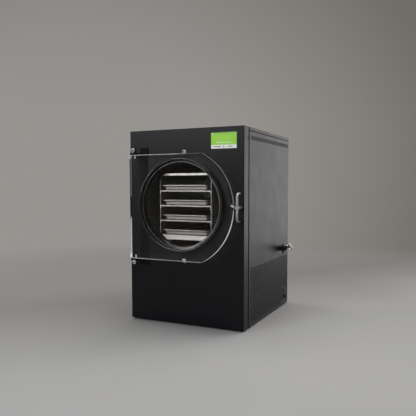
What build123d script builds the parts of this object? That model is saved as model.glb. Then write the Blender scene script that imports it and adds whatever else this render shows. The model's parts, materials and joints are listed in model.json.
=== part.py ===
from build123d import *
from math import cos, radians, sin, sqrt
import os

# A countertop freeze dryer: a folded sheet-steel cabinet round a horizontal vacuum
# chamber, with a clear acrylic door, a heated tray rack and a refrigeration deck below.
# All sizes are in millimetres. X points to the right as one faces the door, Y to the
# back and Z up. The origin is on the floor, below the middle of the cabinet.

# ---------------------------------------------------------------- cabinet
CABINET_WIDTH = 468.0
CABINET_DEPTH = 528.0
CABINET_HEIGHT = 724.0
SHEET = 1.5                     # thickness of every folded panel
BEND = 2.0                      # outer radius of the front panel's folds
SLIP = 0.2                      # assembly gap between sheet pieces
FOOT_HEIGHT = 5.0
FOOT_RADIUS = 16.0
FOOT_TAPER = 2.0
FOOT_INSET = 42.0               # from the cabinet's sides and back
RETURN_DEPTH = 45.0             # how far the front panel folds back round its edges
FLANGE = 14.0                   # inward folds that panels bolt to
GROOVE = 6.0                    # dark joint between the front panel and the sides
FRAME_INSET = 8.0               # how deep the frame lies in that joint
FRAME_WIDTH = 20.0
LID_LIP = 11.0
LID_SEAM = 0.5

# Perforated fields of the sides and the back
MESH_PITCH_Y = 21.0
MESH_PITCH_Z = 19.0
MESH_HOLE = 9.0                 # corner to corner of one diamond hole
MESH_LOW = 10.0                 # plain band below the lower field
MESH_HEIGHT = 198.0
MESH_MARGIN = 12.0              # plain band at the field's ends
SLOT_PITCH = 10.5
SLOT_HOLE = 6.0
SLOT_ROW_DROP = 36.0            # middle of the upper vent row below the cabinet's top
SLOT_ROW_GAP = 7.5              # between its two lines of holes

# ---------------------------------------------------------------- chamber
CHAMBER_X = -11.0               # the chamber is offset towards the hinge
CHAMBER_Z = 446.0
CHAMBER_RADIUS = 158.0          # inside
CHAMBER_WALL = 3.0
CHAMBER_FRONT = -10.0           # rim, in front of the front panel's face
CHAMBER_REAR_ROOM = 98.0        # inside of its back plate to the cabinet's back
BACK_PLATE = 4.0
RIM_PLAY = 1.0                  # between the chamber and the front panel's hole
RING_THICKNESS = 3.0            # mounting ring behind the front panel
RING_RADIUS = 195.0
RING_TAB_WIDTH = 60.0
RING_TAB_MARGIN = 8.0           # beyond the heads of the centre screws
GASKET_OUTER = 171.5            # at the panel
GASKET_CREST = 166.0            # where it meets the door
GASKET_ROUND = 3.5              # size of the crest's rounding
GASKET_BASE = 6.0               # straight part of its outside
GASKET_LIP = 4.0                # thickness of the lip inside the chamber
GASKET_LIP_DEPTH = 10.0
DOOR_GAP = 20.0                 # from the front panel's face to the door's back
SEAL_PLAY = 0.3                 # gasket's crest to the door
COIL_TUBE = 4.0                 # radius of the evaporator tube
COIL_PLAY = 0.2
COIL_FIRST = 90.0
COIL_LAST = 36.0                # last turn to the inside of the back plate
COIL_TURNS = 9
COIL_GAP_LEFT = 20.0            # degrees of the ring left open below, each side
COIL_GAP_RIGHT = 52.0
JACKET_THICKNESS = 16.0
JACKET_FRONT = 60.0
JACKET_BACK_THICKNESS = 12.0

# ---------------------------------------------------------------- door and hinge
DOOR_THICKNESS = 19.0
DOOR_RADIUS = 216.0
DOOR_Z = 437.8
DOOR_HALF_HEIGHT = 194.0
DOOR_LEFT = 21.0                # from the cabinet's left side
DOOR_EDGE = 0.8                 # polished chamfer all round
PIN_INSET = 12.5                # hinge axis from the door's left edge
PIN_RADIUS = 3.0
PIN_HEAD_RADIUS = 6.0
PIN_HEAD = 2.5
RUNNING = 0.05                  # radial clearance of pins and shafts
LEAF_THICKNESS = 3.0
LEAF_LENGTH = 31.0
LEAF_WIDTH = 15.0
DOWEL_SPREAD = 9.0              # each side of the hinge axis
DOWEL_RADIUS = 2.25
DOWEL_DEPTH = 13.5              # in the door
DOWEL_SINK = 0.4                # below the leaf's face
EAR_THICKNESS = 4.0
EAR_LENGTH = 31.0
EAR_MARGIN = 9.0                # in front of the hinge axis
STRIP_THICKNESS = 3.0
STRIP_LEFT = 47.0               # from the cabinet's left side
STRIP_WIDTH = 34.0
STRIP_REACH = 20.0              # beyond the ears
STRIP_RELIEF = 1.0              # clearance round the gasket
TAB_MARGIN = 1.0                # round the head of the hinge screw

# Front screws, all of one kind
SCREW_HEAD_RADIUS = 7.8
SCREW_HEAD = 4.5
SCREW_SHANK = 4.0
SCREW_GRIP = 10.0               # shank length behind the head
SCREW_SOCKET = 2.8
SCREW_DOME = 1.2                # straight part of the head
SCREW_CROWN = 4.2               # radius of the head's flat top
SCREW_SOCKET_FLOOR = 1.3
SCREW_RISE = 199.0              # centre screws above and below the latch
HINGE_SCREW_X = 15.5            # from the cabinet's left side
HINGE_SCREW_RISE = 13.6         # its middle beyond the ear's outer face

# Small black screws that hold the sheets together
PANEL_SCREW_HEAD = 4.0
PANEL_SCREW_RISE = 1.6
PANEL_SCREW_SHANK = 2.0
PANEL_SCREW_LENGTH = 8.0
PANEL_SCREW_TOP = 38.0          # below the cabinet's top
PANEL_SCREW_SET = 7.0           # in front of the joint with the frame
REAR_SCREW_ROWS = 4
REAR_SCREW_INSET = 8.0          # from the cabinet's sides
REAR_SCREW_END = 30.0           # from the rear panel's ends

# ---------------------------------------------------------------- latch
LATCH_FROM_SIDE = 12.6          # hub axis from the cabinet's right side
LATCH_Z = 441.0
HUB_RADIUS = 7.5
HUB_NECK = 5.5                  # between the finger and the bearing
HANDLE_RADIUS = 3.6
HANDLE_REACH = 34.0             # bar's centre in front of the panel
HANDLE_HALF = 49.0              # hub to the centre of each end
HANDLE_BEND = 12.0
HANDLE_TIP = 6.0                # ends stop this far in front of the panel
BEARING_RADIUS = 6.5
BEARING_FLANGE_RADIUS = 8.5
BEARING_FLANGE = 18.0           # its sleeve reaches this far in front of the panel
BEARING_LENGTH = 12.0
SHAFT_RADIUS = 4.5
SHAFT_END = 16.0                # behind the front panel's face
FINGER_LENGTH = 27.0
FINGER_WIDTH = 7.0
FINGER_THICKNESS = 4.0
FINGER_SETBACK = 4.5            # its back in front of the door's rear face
FINGER_LIFT = 15.0              # degrees above level when released
FINGER_RING = 9.5
NOTCH_TIP = 1.5                 # beyond the finger's tip
NOTCH_ABOVE = 2.0
NOTCH_BELOW = 8.0
LEDGE_PLAY = 1.2
LEDGE_SLACK = 0.5               # behind the latched finger

# ---------------------------------------------------------------- display
SCREEN_WIDTH = 98.0
SCREEN_HEIGHT = 56.0
SCREEN_FROM_SIDE = 76.7         # its middle, from the cabinet's right side
SCREEN_DROP = 48.6              # its middle below the cabinet's top
SCREEN_THICKNESS = 4.0
SCREEN_RECESS = 0.6
BEZEL_RIM = 2.5
BEZEL_PROUD = 0.8
BEZEL_FLANGE = 4.0
BEZEL_DEPTH = 10.0
BEZEL_GRIP = 2.0
BOARD_THICKNESS = 1.6
RELAY_SIZE = (15.0, 6.0, 16.0)
RELAY_STEP = 26.0
PROCESSOR_SIZE = (34.0, 3.0, 20.0)
BOARD_ROW = 14.0                # of the relays above and the processor below the middle

# ---------------------------------------------------------------- rack and trays
RACK_FRONT = 31.0
RACK_REAR_ROOM = 13.0           # to the inside of the chamber's back plate
RACK_HALF_WIDTH = 107.5
RACK_Z = 443.8                  # the middle shelf's upper face
SHELF_PITCH = 55.8
SHELF_SHEET = 2.0
SHELF_LIP = 4.0                 # front and rear lips, downward
SHELF_FLANGE = 12.0             # side flanges, downward
SIDE_SHEET = 1.5
SIDE_TURN_HIGH = 12.0           # height over which the side plates turn inwards above
SIDE_TURN_LOW = 5.0             # and below
CAP_HALF_TOP = 87.0
CAP_HALF_BOTTOM = 94.5
CAP_HEIGHT = 8.0
PAN_HALF_TOP = 98.0
PAN_HALF_BOTTOM = 79.0
PAN_HEIGHT = 17.0
TRAY_COUNT = 4
TRAY_HALF_RIM = 97.5
TRAY_DRAFT = 5.0                # each wall leans in by this much
TRAY_RIM = 6.5                  # the rim beyond the walls
TRAY_RIM_HEIGHT = 4.5
TRAY_CORNER = 9.0
TRAY_DEPTH = 20.5
TRAY_SHEET = 1.2
TRAY_REAR = 13.0                # to the rack's rear end
TRAY_PROUD = 6.0                # in front of the rack's front end
TRAY_PLAY = 0.2
MAT_THICKNESS = 1.6
MAT_MARGIN = 26.0
MAT_CORNER = 8.0
RUNNER_X = 66.0
RUNNER_WIDTH = 12.0

# ---------------------------------------------------------------- refrigeration deck
POT_FROM_SIDE = 122.0           # its axis, from the cabinet's left side
POT_FROM_BACK = 304.0
POT_RADIUS = 78.0
POT_HEIGHT = 174.0
POT_FOOT = 12.0                 # chamfer at the pot's lower edge
POT_WELD = 84.0                 # height of the welded belt
POT_WELD_WIDTH = 10.0
POT_WELD_PROUD = 2.0
POT_SHOULDER = 34.0
POT_CROWN = 24.0                # radius of the flat top
POT_PLATE = 3.0
POT_PLATE_MARGIN = 4.0          # beyond the pot, on each side
TERMINAL_PROUD = 22.0
TERMINAL_WIDTH = 54.0
TERMINAL_HEIGHT = 60.0
TERMINAL_RISE = 64.0
GROMMET_RADIUS = 11.0
GROMMET_NECK = 5.5
GROMMET_PROUD = 2.0
GROMMET_HEIGHT = 14.0
GROMMET_INSET = 14.0
FIN_BLOCK_FROM_SIDE = 52.0      # from the cabinet's left side
FIN_BLOCK_FROM_BACK = 126.0     # its middle
FIN_BLOCK_WIDTH = 240.0
FIN_BLOCK_DEPTH = 40.0
FIN_BLOCK_HEIGHT = 190.0
FIN_PITCH = 8.0
FIN_SHEET = 1.2
FIN_WEB = 9.0
SHROUD_RING = 86.0
SHROUD_DEPTH = 30.0
BLADE_RADIUS = 80.0
BLADE_COUNT = 5
BLADE_HUB = 20.0
BLADE_DEPTH = 16.0
BLADE_TWIST = 28.0
BLADE_SHEET = 2.0
BLADE_CHORD = 26.0
BLADE_ROOT = 5.0                # depth of each blade's root in the hub
MOTOR_RADIUS = 34.0
MOTOR_LENGTH = 40.0
MOTOR_SHAFT = 4.0
MOTOR_END = 8.0                 # solid part behind the bore
MOTOR_RUN_OUT = 3.0             # shaft end to the bore's bottom
MOTOR_ROUND = 4.0
HUB_HOLE = 8.0                  # in the shroud's struts
STRUT_RING = 6.0                # round the motor's face
STRUT_WIDTH = 12.0
DRIER_RADIUS = 14.0
DRIER_LENGTH = 90.0
DRIER_NECK = 5.0
DRIER_GAP = 32.0                # its axis beyond the fin block
PIPE = 4.0                      # radius of the refrigerant tubes
PIPE_BEND = 12.0
PIPE_RISE = 14.0                # level runs above what they leave
SUCTION_SET = 8.0               # from the pot's axis
DISCHARGE_SET = 16.0
CRADLE_SHEET = 2.5
CRADLE_FROM_BACK = 196.0
CRADLE_HALF = 150.0
CRADLE_LEG = 34.0
CRADLE_BEAM = 30.0              # its least height, below the jacket
CRADLE_FOOT = 28.0
SUPPLY_SIZE = (130.0, 120.0, 62.0)
SUPPLY_FROM_SIDE = 102.0        # its middle, from the cabinet's right side
SUPPLY_FROM_BACK = 384.0
SUPPLY_SLOTS = 4
SUPPLY_SLOT = 5.0
SUPPLY_SLOT_PITCH = 9.0
SUPPLY_SLOT_MARGIN = 20.0
SUPPLY_SLOT_LOW = 18.0

# ---------------------------------------------------------------- services at the sides
PORT_FROM_BACK = 119.0
PORT_Z = 255.5
PORT_BORE = 5.0
NUT_RADIUS = 12.0
NUT_LENGTH = 12.0
BODY_RADIUS = 10.0
BODY_LENGTH = 18.0
STEM_RADIUS = 5.0
STEM_REACH = 16.0               # from the valve's axis to the lever
LEVER_HALF = 19.5
LEVER_WIDTH = 7.0
LEVER_THICKNESS = 4.0
STEM_BOSS = 7.0
NECK_RADIUS = 6.0
NECK_LENGTH = 15.0
NECK_ROOT = 5.0                 # inside the valve's body
OUTLET_TILT = 36.0              # degrees above level
FERRULE_RADIUS = 11.0
FERRULE_LENGTH = 4.0
FERRULE_SET = 6.2               # from the valve's body
CAP_RADIUS = 13.5
CAP_LENGTH = 8.0
CAP_EDGE = 1.2
SPIGOT_RADIUS = 8.0
VACUUM_PIPE = 8.0
VACUUM_STUB_X = 95.0            # from the chamber's axis
STUB_WALL = 2.0
STUB_REACH = 8.0                # vacuum stub beyond the jacket
DRAIN_PIPE = 6.0
DRAIN_FROM_BACK = 164.0
DRAIN_Z = 236.0
DRAIN_SPIGOT = 16.0
DRAIN_COLLAR = 9.0
DRAIN_COLLAR_LENGTH = 3.0
DRAIN_PLUG = 7.5
DRAIN_PLUG_LENGTH = 7.0
INLET_FROM_BACK = 48.0
INLET_Z = 49.5
INLET_WIDTH = 27.0
INLET_HEIGHT = 47.0
INLET_RIM = 1.5
INLET_RIM_PROUD = 1.6
INLET_DEPTH = 30.0
SOCKET_WIDTH = 22.0
SOCKET_HEIGHT = 15.0
SOCKET_DEPTH = 20.0
CONTACT_SIZE = (13.0, 2.0, 4.0)
CONTACT_STEP = 7.0
CONTACT_STAGGER = 2.0
INLET_EDGE = 3.0                # from the housing's ends to its two mouths
ROCKER_WIDTH = 13.0
ROCKER_HEIGHT = 19.0
ROCKER_PLAY = 0.6
ROCKER_TILT = 7.0               # degrees each way
ROCKER_CREST = 2.6
ROCKER_AXLE = 1.3
ROCKER_AXLE_SET = 3.0           # axle behind the side panel's face
ROCKER_BODY = 3.0               # thickness behind the axle

# ---------------------------------------------------------------- derived places
HALF_WIDTH = CABINET_WIDTH / 2
FRONT = -CABINET_DEPTH / 2
BACK = CABINET_DEPTH / 2
SIDE_FRONT = FRONT + RETURN_DEPTH + GROOVE
SIDE_TOP_Z = CABINET_HEIGHT - LID_LIP - LID_SEAM
FLOOR_TOP = FOOT_HEIGHT + SHEET
DOOR_BACK = FRONT - DOOR_GAP
DOOR_FRONT = DOOR_BACK - DOOR_THICKNESS
CHAMBER_OUTER = CHAMBER_RADIUS + CHAMBER_WALL
COIL_RADIUS = CHAMBER_OUTER + COIL_PLAY + COIL_TUBE
JACKET_INNER = COIL_RADIUS + COIL_TUBE + COIL_PLAY
JACKET_OUTER = JACKET_INNER + JACKET_THICKNESS
CHAMBER_BACK = CABINET_DEPTH - CHAMBER_REAR_ROOM
COIL_PITCH = (CHAMBER_BACK - COIL_FIRST - COIL_LAST) / (COIL_TURNS - 1)
LATCH_X = HALF_WIDTH - LATCH_FROM_SIDE
SCREEN_X = HALF_WIDTH - SCREEN_FROM_SIDE
SCREEN_Z = CABINET_HEIGHT - SCREEN_DROP
HINGE_X = -HALF_WIDTH + DOOR_LEFT + PIN_INSET
HINGE_Y = (DOOR_BACK + DOOR_FRONT) / 2
DOOR_TOP = DOOR_Z + DOOR_HALF_HEIGHT
DOOR_BOTTOM = DOOR_Z - DOOR_HALF_HEIGHT
RACK_LENGTH = CHAMBER_BACK - RACK_FRONT - RACK_REAR_ROOM
RACK_Y = (FRONT + RACK_FRONT, FRONT + RACK_FRONT + RACK_LENGTH)
TRAY_LENGTH = RACK_LENGTH + TRAY_PROUD - TRAY_REAR
POT_X = -HALF_WIDTH + POT_FROM_SIDE
POT_Y = BACK - POT_FROM_BACK
POT_PLATE_HALF = POT_RADIUS + POT_PLATE_MARGIN
FIN_BLOCK_X = -HALF_WIDTH + FIN_BLOCK_FROM_SIDE + FIN_BLOCK_WIDTH / 2
FIN_BLOCK_Y = BACK - FIN_BLOCK_FROM_BACK
DRIER_X = FIN_BLOCK_X + FIN_BLOCK_WIDTH / 2 + DRIER_GAP
CRADLE_Y = BACK - CRADLE_FROM_BACK
SUPPLY_X = HALF_WIDTH - SUPPLY_FROM_SIDE
SUPPLY_Y = BACK - SUPPLY_FROM_BACK
PORT_Y = BACK - PORT_FROM_BACK
DRAIN_Y = BACK - DRAIN_FROM_BACK
INLET_Y = BACK - INLET_FROM_BACK
FAN_Y = FIN_BLOCK_Y + FIN_BLOCK_DEPTH / 2 + SHROUD_DEPTH / 2
FAN_Z = FLOOR_TOP + FIN_BLOCK_HEIGHT / 2


# ---------------------------------------------------------------- helpers
def block(x, y, z):
    """A box given by a (low, high) pair on each axis."""
    size = [high - low for low, high in (x, y, z)]
    middle = [(high + low) / 2 for low, high in (x, y, z)]
    return Pos(*middle) * Box(*size)


def span(middle, width):
    """The (low, high) pair of a width about its middle."""
    return (middle - width / 2, middle + width / 2)


def bar_x(x, y, z, radius):
    """A round bar along X."""
    return Pos(sum(x) / 2, y, z) * Rot(0, 90, 0) * Cylinder(radius, x[1] - x[0])


def bar_y(x, y, z, radius):
    """A round bar along Y."""
    return Pos(x, sum(y) / 2, z) * Rot(-90, 0, 0) * Cylinder(radius, y[1] - y[0])


def bar_z(x, y, z, radius):
    """A round bar along Z."""
    return Pos(x, y, sum(z) / 2) * Cylinder(radius, z[1] - z[0])


def turned(points):
    """A solid turned about Z from (radius, height) points."""
    outline = Wire.make_polygon([(r, 0, z) for r, z in points], close=True)
    return revolve(Face(outline), Axis.Z)


def about_y(shape, x, z):
    """A solid made about Z, laid with its axis along Y."""
    return Pos(x, 0, z) * Rot(-90, 0, 0) * shape


def about_x(shape, y, z):
    """A solid made about Z, laid with its axis along X."""
    return Pos(0, y, z) * Rot(0, 90, 0) * shape


def prism_y(points, y):
    """A plate with an (x, z) outline, between two Y planes."""
    outline = Wire.make_polygon([(px, y[0], pz) for px, pz in points], close=True)
    return extrude(Face(outline), amount=y[1] - y[0], dir=(0, 1, 0))


def pipe(points, bend, radius):
    """A round tube of straight runs joined by arcs."""
    path = FilletPolyline(*points, radius=bend)
    section = Plane(origin=path @ 0, z_dir=path % 0) * Circle(radius)
    return sweep(section, path=path)


def save(name, shape):
    """Write one node, as one solid or a group of solids."""
    solids = list(shape.solids())
    whole = solids[0] if len(solids) == 1 else Compound(children=solids)
    export_step(whole, f"parts/{name}.step")


# ---------------------------------------------------------------- cabinet panels
def diamond(y, z, size, x):
    """The outline of one diamond hole in a side panel."""
    half = size / 2
    corners = [(x, y - half, z), (x, y, z - half), (x, y + half, z), (x, y, z + half)]
    return Wire.make_polygon(corners, close=True)


def staggered(low, high, pitch, shift):
    """Evenly spaced places between two limits, centred, with every other line shifted."""
    count = int((high - low) / pitch)
    start = (low + high - count * pitch) / 2 + shift * pitch / 2
    return [start + pitch * i for i in range(count + 1 - shift)]


def mesh_places(y, z, pitch_y, pitch_z):
    """Hole centres of a staggered field."""
    rows = int((z[1] - z[0]) / (pitch_z / 2))
    low = (z[0] + z[1] - rows * pitch_z / 2) / 2
    places = []
    for row in range(rows + 1):
        for along in staggered(y[0], y[1], pitch_y, row % 2):
            places.append((along, low + row * pitch_z / 2))
    return places


def vent_row_places(y):
    """Hole centres of the two fine lines below the lid."""
    middle = CABINET_HEIGHT - SLOT_ROW_DROP
    places = []
    for line in (0, 1):
        height = middle + (line - 0.5) * SLOT_ROW_GAP
        places += [(along, height) for along in staggered(y[0], y[1], SLOT_PITCH, line)]
    return places


def near_inlet(y, z):
    """True where a hole would break into the power inlet's cut-out."""
    room = MESH_HOLE / 2 + INLET_RIM + 2 * SHEET
    beside = abs(y - INLET_Y) < INLET_WIDTH / 2 + room
    return beside and abs(z - INLET_Z) < INLET_HEIGHT / 2 + room


def side_panel(side):
    """A flat side sheet with folded edges and two perforated fields."""
    outer = side * HALF_WIDTH
    y = (SIDE_FRONT, BACK)
    z = (FOOT_HEIGHT, SIDE_TOP_Z)
    field_y = (y[0] + MESH_MARGIN, y[1] - MESH_MARGIN)
    field_z = (FOOT_HEIGHT + MESH_LOW, FOOT_HEIGHT + MESH_LOW + MESH_HEIGHT)
    holes = []
    for along, height in mesh_places(field_y, field_z, MESH_PITCH_Y, MESH_PITCH_Z):
        if side < 0 or not near_inlet(along, height):
            holes.append(diamond(along, height, MESH_HOLE, outer))
    for along, height in vent_row_places(field_y):
        holes.append(diamond(along, height, SLOT_HOLE, outer))
    corners = [(outer, y[0], z[0]), (outer, y[1], z[0]), (outer, y[1], z[1]), (outer, y[0], z[1])]
    face = Face(Wire.make_polygon(corners, close=True), holes)
    sheet = extrude(face, amount=SHEET, dir=(-side, 0, 0))
    inward = sorted((outer - side * SHEET, outer - side * FLANGE))
    front_fold = block(inward, (y[0], y[0] + SHEET), z)
    top_fold = block(inward, (y[0] + SHEET, y[1] - SHEET - SLIP), (z[1] - SHEET, z[1]))
    fold_y = (y[1] - 2 * SHEET - SLIP, y[1] - SHEET - SLIP)
    rear_fold = block(inward, fold_y, z)
    for px, pz in rear_screw_places():
        rear_fold -= bar_y(px, fold_y, pz, PANEL_SCREW_SHANK + RUNNING)
    return sheet + front_fold + top_fold + rear_fold


def right_side_panel():
    """The right side also carries the vacuum port and the power inlet."""
    wall = (HALF_WIDTH - 2 * SHEET, HALF_WIDTH + SHEET)
    port_hole = bar_x(wall, PORT_Y, PORT_Z, SPIGOT_RADIUS + RUNNING)
    inlet_hole = block(wall, span(INLET_Y, INLET_WIDTH + SLIP), span(INLET_Z, INLET_HEIGHT + SLIP))
    return side_panel(1) - port_hole - inlet_hole


def left_side_panel():
    """The left side lets the drain spigot through."""
    wall = (-HALF_WIDTH - SHEET, -HALF_WIDTH + 2 * SHEET)
    return side_panel(-1) - bar_x(wall, DRAIN_Y, DRAIN_Z, DRAIN_PIPE + RUNNING)


def rear_screw_places():
    """X and Z places of the screws that hold the rear panel."""
    low = FOOT_HEIGHT + REAR_SCREW_END
    step = (SIDE_TOP_Z - REAR_SCREW_END - low) / (REAR_SCREW_ROWS - 1)
    side = HALF_WIDTH - REAR_SCREW_INSET
    return [(x, low + row * step) for x in (-side, side) for row in range(REAR_SCREW_ROWS)]


def strip_screw_place():
    """Y and Z place of the screw in each side of the front panel's fold."""
    return (FRONT + RETURN_DEPTH - PANEL_SCREW_SET, CABINET_HEIGHT - PANEL_SCREW_TOP)


def rear_panel():
    """A flat sheet with a perforated field behind the fan."""
    half = HALF_WIDTH - SHEET - SLIP
    field_x = span(FIN_BLOCK_X, FIN_BLOCK_WIDTH)
    field_z = (FOOT_HEIGHT + MESH_LOW, FOOT_HEIGHT + MESH_LOW + MESH_HEIGHT)
    size = MESH_HOLE / 2
    holes = []
    for px, pz in mesh_places(field_x, field_z, MESH_PITCH_Y, MESH_PITCH_Z):
        ring = [(px - size, BACK, pz), (px, BACK, pz - size)]
        ring += [(px + size, BACK, pz), (px, BACK, pz + size)]
        holes.append(Wire.make_polygon(ring, close=True))
    low, high = FOOT_HEIGHT, SIDE_TOP_Z
    corners = [(-half, BACK, low), (half, BACK, low), (half, BACK, high), (-half, BACK, high)]
    face = Face(Wire.make_polygon(corners, close=True), holes)
    sheet = extrude(face, amount=SHEET, dir=(0, -1, 0))
    for px, pz in rear_screw_places():
        sheet -= bar_y(px, (BACK - SHEET, BACK), pz, PANEL_SCREW_SHANK + RUNNING)
    return sheet


def panel_screw():
    """One low-headed screw, made about Z with its head upwards."""
    crown = PANEL_SCREW_HEAD - PANEL_SCREW_RISE
    points = [(0, -PANEL_SCREW_LENGTH), (PANEL_SCREW_SHANK, -PANEL_SCREW_LENGTH)]
    points.append((PANEL_SCREW_SHANK, 0))
    points += [(PANEL_SCREW_HEAD, 0), (crown, PANEL_SCREW_RISE), (0, PANEL_SCREW_RISE)]
    return turned(points)


def panel_screws():
    """One screw in each side of the front panel's fold, and two rows up the back."""
    screws = []
    y, z = strip_screw_place()
    for side in (-1, 1):
        screws.append(Pos(side * HALF_WIDTH, y, z) * Rot(0, side * 90, 0) * panel_screw())
    for x, z in rear_screw_places():
        screws.append(Pos(x, BACK, z) * Rot(-90, 0, 0) * panel_screw())
    return Compound(children=screws)


def front_panel():
    """A shallow folded tray that stands on edge, pierced for the chamber and controls."""
    x = (-HALF_WIDTH, HALF_WIDTH)
    y = (FRONT, FRONT + RETURN_DEPTH)
    z = (FOOT_HEIGHT, CABINET_HEIGHT)
    outer = block(x, y, z)
    tray = fillet(outer.edges().filter_by(Axis.Y) + outer.faces().sort_by(Axis.Y)[0].edges(), BEND)
    inside_x, inside_z = (x[0] + SHEET, x[1] - SHEET), (z[0] + SHEET, z[1] - SHEET)
    tray -= block(inside_x, (y[0] + SHEET, y[1] - SHEET), inside_z)
    mouth_x, mouth_z = (x[0] + FLANGE, x[1] - FLANGE), (z[0] + FLANGE, z[1] - FLANGE)
    tray -= block(mouth_x, (y[1] - SHEET, y[1]), mouth_z)
    through = (FRONT, FRONT + SHEET)
    tray -= bar_y(CHAMBER_X, through, CHAMBER_Z, CHAMBER_OUTER + RIM_PLAY)
    tray -= bar_y(LATCH_X, through, LATCH_Z, BEARING_RADIUS + RUNNING)
    rim = 2 * (BEZEL_RIM + RUNNING)
    tray -= block(span(SCREEN_X, SCREEN_WIDTH + rim), through, span(SCREEN_Z, SCREEN_HEIGHT + rim))
    for px, pz, _ in screw_places():
        tray -= bar_y(px, through, pz, SCREW_SHANK + RUNNING)
    return tray - bar_x(x, *strip_screw_place(), PANEL_SCREW_SHANK + RUNNING)


def front_frame():
    """The welded ring in the dark joint, which the front panel and the sides bolt to."""
    y = (FRONT + RETURN_DEPTH, SIDE_FRONT)
    side = HALF_WIDTH - FRAME_INSET
    z = (FOOT_HEIGHT + FRAME_INSET, CABINET_HEIGHT - FRAME_INSET)
    ring = block((-side, side), y, z)
    inner = side - FRAME_WIDTH
    return ring - block((-inner, inner), y, (z[0] + FRAME_WIDTH, z[1] - FRAME_WIDTH))


def top_cover():
    """The lid: a flat sheet with a short lip folded down all round."""
    x = (-HALF_WIDTH, HALF_WIDTH)
    y = (SIDE_FRONT, BACK)
    z = (CABINET_HEIGHT - LID_LIP, CABINET_HEIGHT)
    outer = block(x, y, z)
    lid = fillet(outer.edges().filter_by(Axis.Y).sort_by(Axis.Z)[-2:], SHEET)
    return lid - block((x[0] + SHEET, x[1] - SHEET), (y[0] + SHEET, y[1] - SHEET), (z[0], z[1] - SHEET))


def base_pan():
    """The floor sheet, with its edges folded up inside the panels."""
    half = HALF_WIDTH - SHEET - SLIP
    x = (-half, half)
    y = (SIDE_FRONT + SHEET + SLIP, BACK - 2 * SHEET - 2 * SLIP)
    z = (FOOT_HEIGHT, FOOT_HEIGHT + FLANGE)
    inner = block((x[0] + SHEET, x[1] - SHEET), (y[0] + SHEET, y[1] - SHEET), (FLOOR_TOP, z[1]))
    return block(x, y, z) - inner


def rubber_feet():
    """Four low rubber pads under the floor sheet."""
    side = HALF_WIDTH - FOOT_INSET
    front = SIDE_FRONT + FOOT_INSET
    rear = BACK - FOOT_INSET
    points = [(0, 0), (FOOT_RADIUS - FOOT_TAPER, 0)]
    points += [(FOOT_RADIUS, FOOT_HEIGHT), (0, FOOT_HEIGHT)]
    feet = []
    for x in (-side, side):
        for y in (front, rear):
            feet.append(Pos(x, y, 0) * turned(points))
    return Compound(children=feet)


# ---------------------------------------------------------------- chamber
def chamber_shell():
    """A rolled tube welded to a flat back, with its vacuum and drain stubs."""
    y = (FRONT + CHAMBER_FRONT, FRONT + CHAMBER_BACK + BACK_PLATE)
    shell = bar_y(CHAMBER_X, y, CHAMBER_Z, CHAMBER_OUTER)
    bore = bar_y(CHAMBER_X, (y[0], FRONT + CHAMBER_BACK), CHAMBER_Z, CHAMBER_RADIUS)
    for x, stub_y, radius, low in stubs():
        shell += bar_z(x, stub_y, (low, CHAMBER_Z), radius + STUB_WALL)
    shell -= bore
    for x, stub_y, radius, low in stubs():
        shell -= bar_z(x, stub_y, (low, CHAMBER_Z), radius)
    return shell


def stubs():
    """Place, bore and lower end of the vacuum stub and the drain stub."""
    drop = sqrt(JACKET_OUTER ** 2 - VACUUM_STUB_X ** 2)
    low = CHAMBER_Z - drop - STUB_REACH
    vacuum = (CHAMBER_X + VACUUM_STUB_X, PORT_Y, VACUUM_PIPE - STUB_WALL, low)
    drain = (CHAMBER_X, DRAIN_Y, DRAIN_PIPE - STUB_WALL, CHAMBER_Z - JACKET_OUTER - STUB_WALL)
    return [vacuum, drain]


def chamber_mounting_ring():
    """The plate that carries the chamber behind the front panel."""
    y = (FRONT + SHEET, FRONT + SHEET + RING_THICKNESS)
    plate = bar_y(CHAMBER_X, y, CHAMBER_Z, RING_RADIUS)
    heights = [pz for _, pz, where in screw_places() if where == "centre"]
    margin = SCREW_HEAD_RADIUS + RING_TAB_MARGIN
    plate += block(span(0, RING_TAB_WIDTH), y, (min(heights) - margin, max(heights) + margin))
    plate -= bar_y(CHAMBER_X, y, CHAMBER_Z, CHAMBER_OUTER + RUNNING)
    for px, pz, where in screw_places():
        if where == "centre":
            plate -= bar_y(px, y, pz, SCREW_SHANK + RUNNING)
    return plate


def chamber_gasket():
    """A black rubber ring with a rounded crest, pushed over the chamber's rim."""
    crest = SEAL_PLAY - DOOR_GAP
    lip = CHAMBER_RADIUS - GASKET_LIP
    rise = GASKET_ROUND / 2
    points = [
        (GASKET_OUTER, 0),
        (GASKET_OUTER, -GASKET_BASE),
        (GASKET_CREST + GASKET_ROUND, crest + GASKET_ROUND),
        (GASKET_CREST + rise, crest + rise / 2),
        (GASKET_CREST, crest),
        (GASKET_CREST - rise, crest + rise / 2),
        (GASKET_CREST - GASKET_ROUND, crest + GASKET_ROUND),
        (lip, -GASKET_BASE),
        (lip, GASKET_LIP_DEPTH),
        (CHAMBER_RADIUS - RUNNING, GASKET_LIP_DEPTH),
        (CHAMBER_RADIUS - RUNNING, CHAMBER_FRONT - RUNNING),
        (CHAMBER_OUTER + RUNNING, CHAMBER_FRONT - RUNNING),
        (CHAMBER_OUTER + RUNNING, 0),
    ]
    return Pos(0, FRONT, 0) * about_y(turned(points), CHAMBER_X, CHAMBER_Z)


def ring_point(angle, y):
    """A point on the evaporator's ring; angles run from straight down towards +X."""
    turn = radians(angle)
    return (CHAMBER_X + COIL_RADIUS * sin(turn), y, CHAMBER_Z - COIL_RADIUS * cos(turn))


def coil_y(turn):
    """The Y place of one turn of the evaporator."""
    return FRONT + COIL_FIRST + COIL_PITCH * turn


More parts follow.
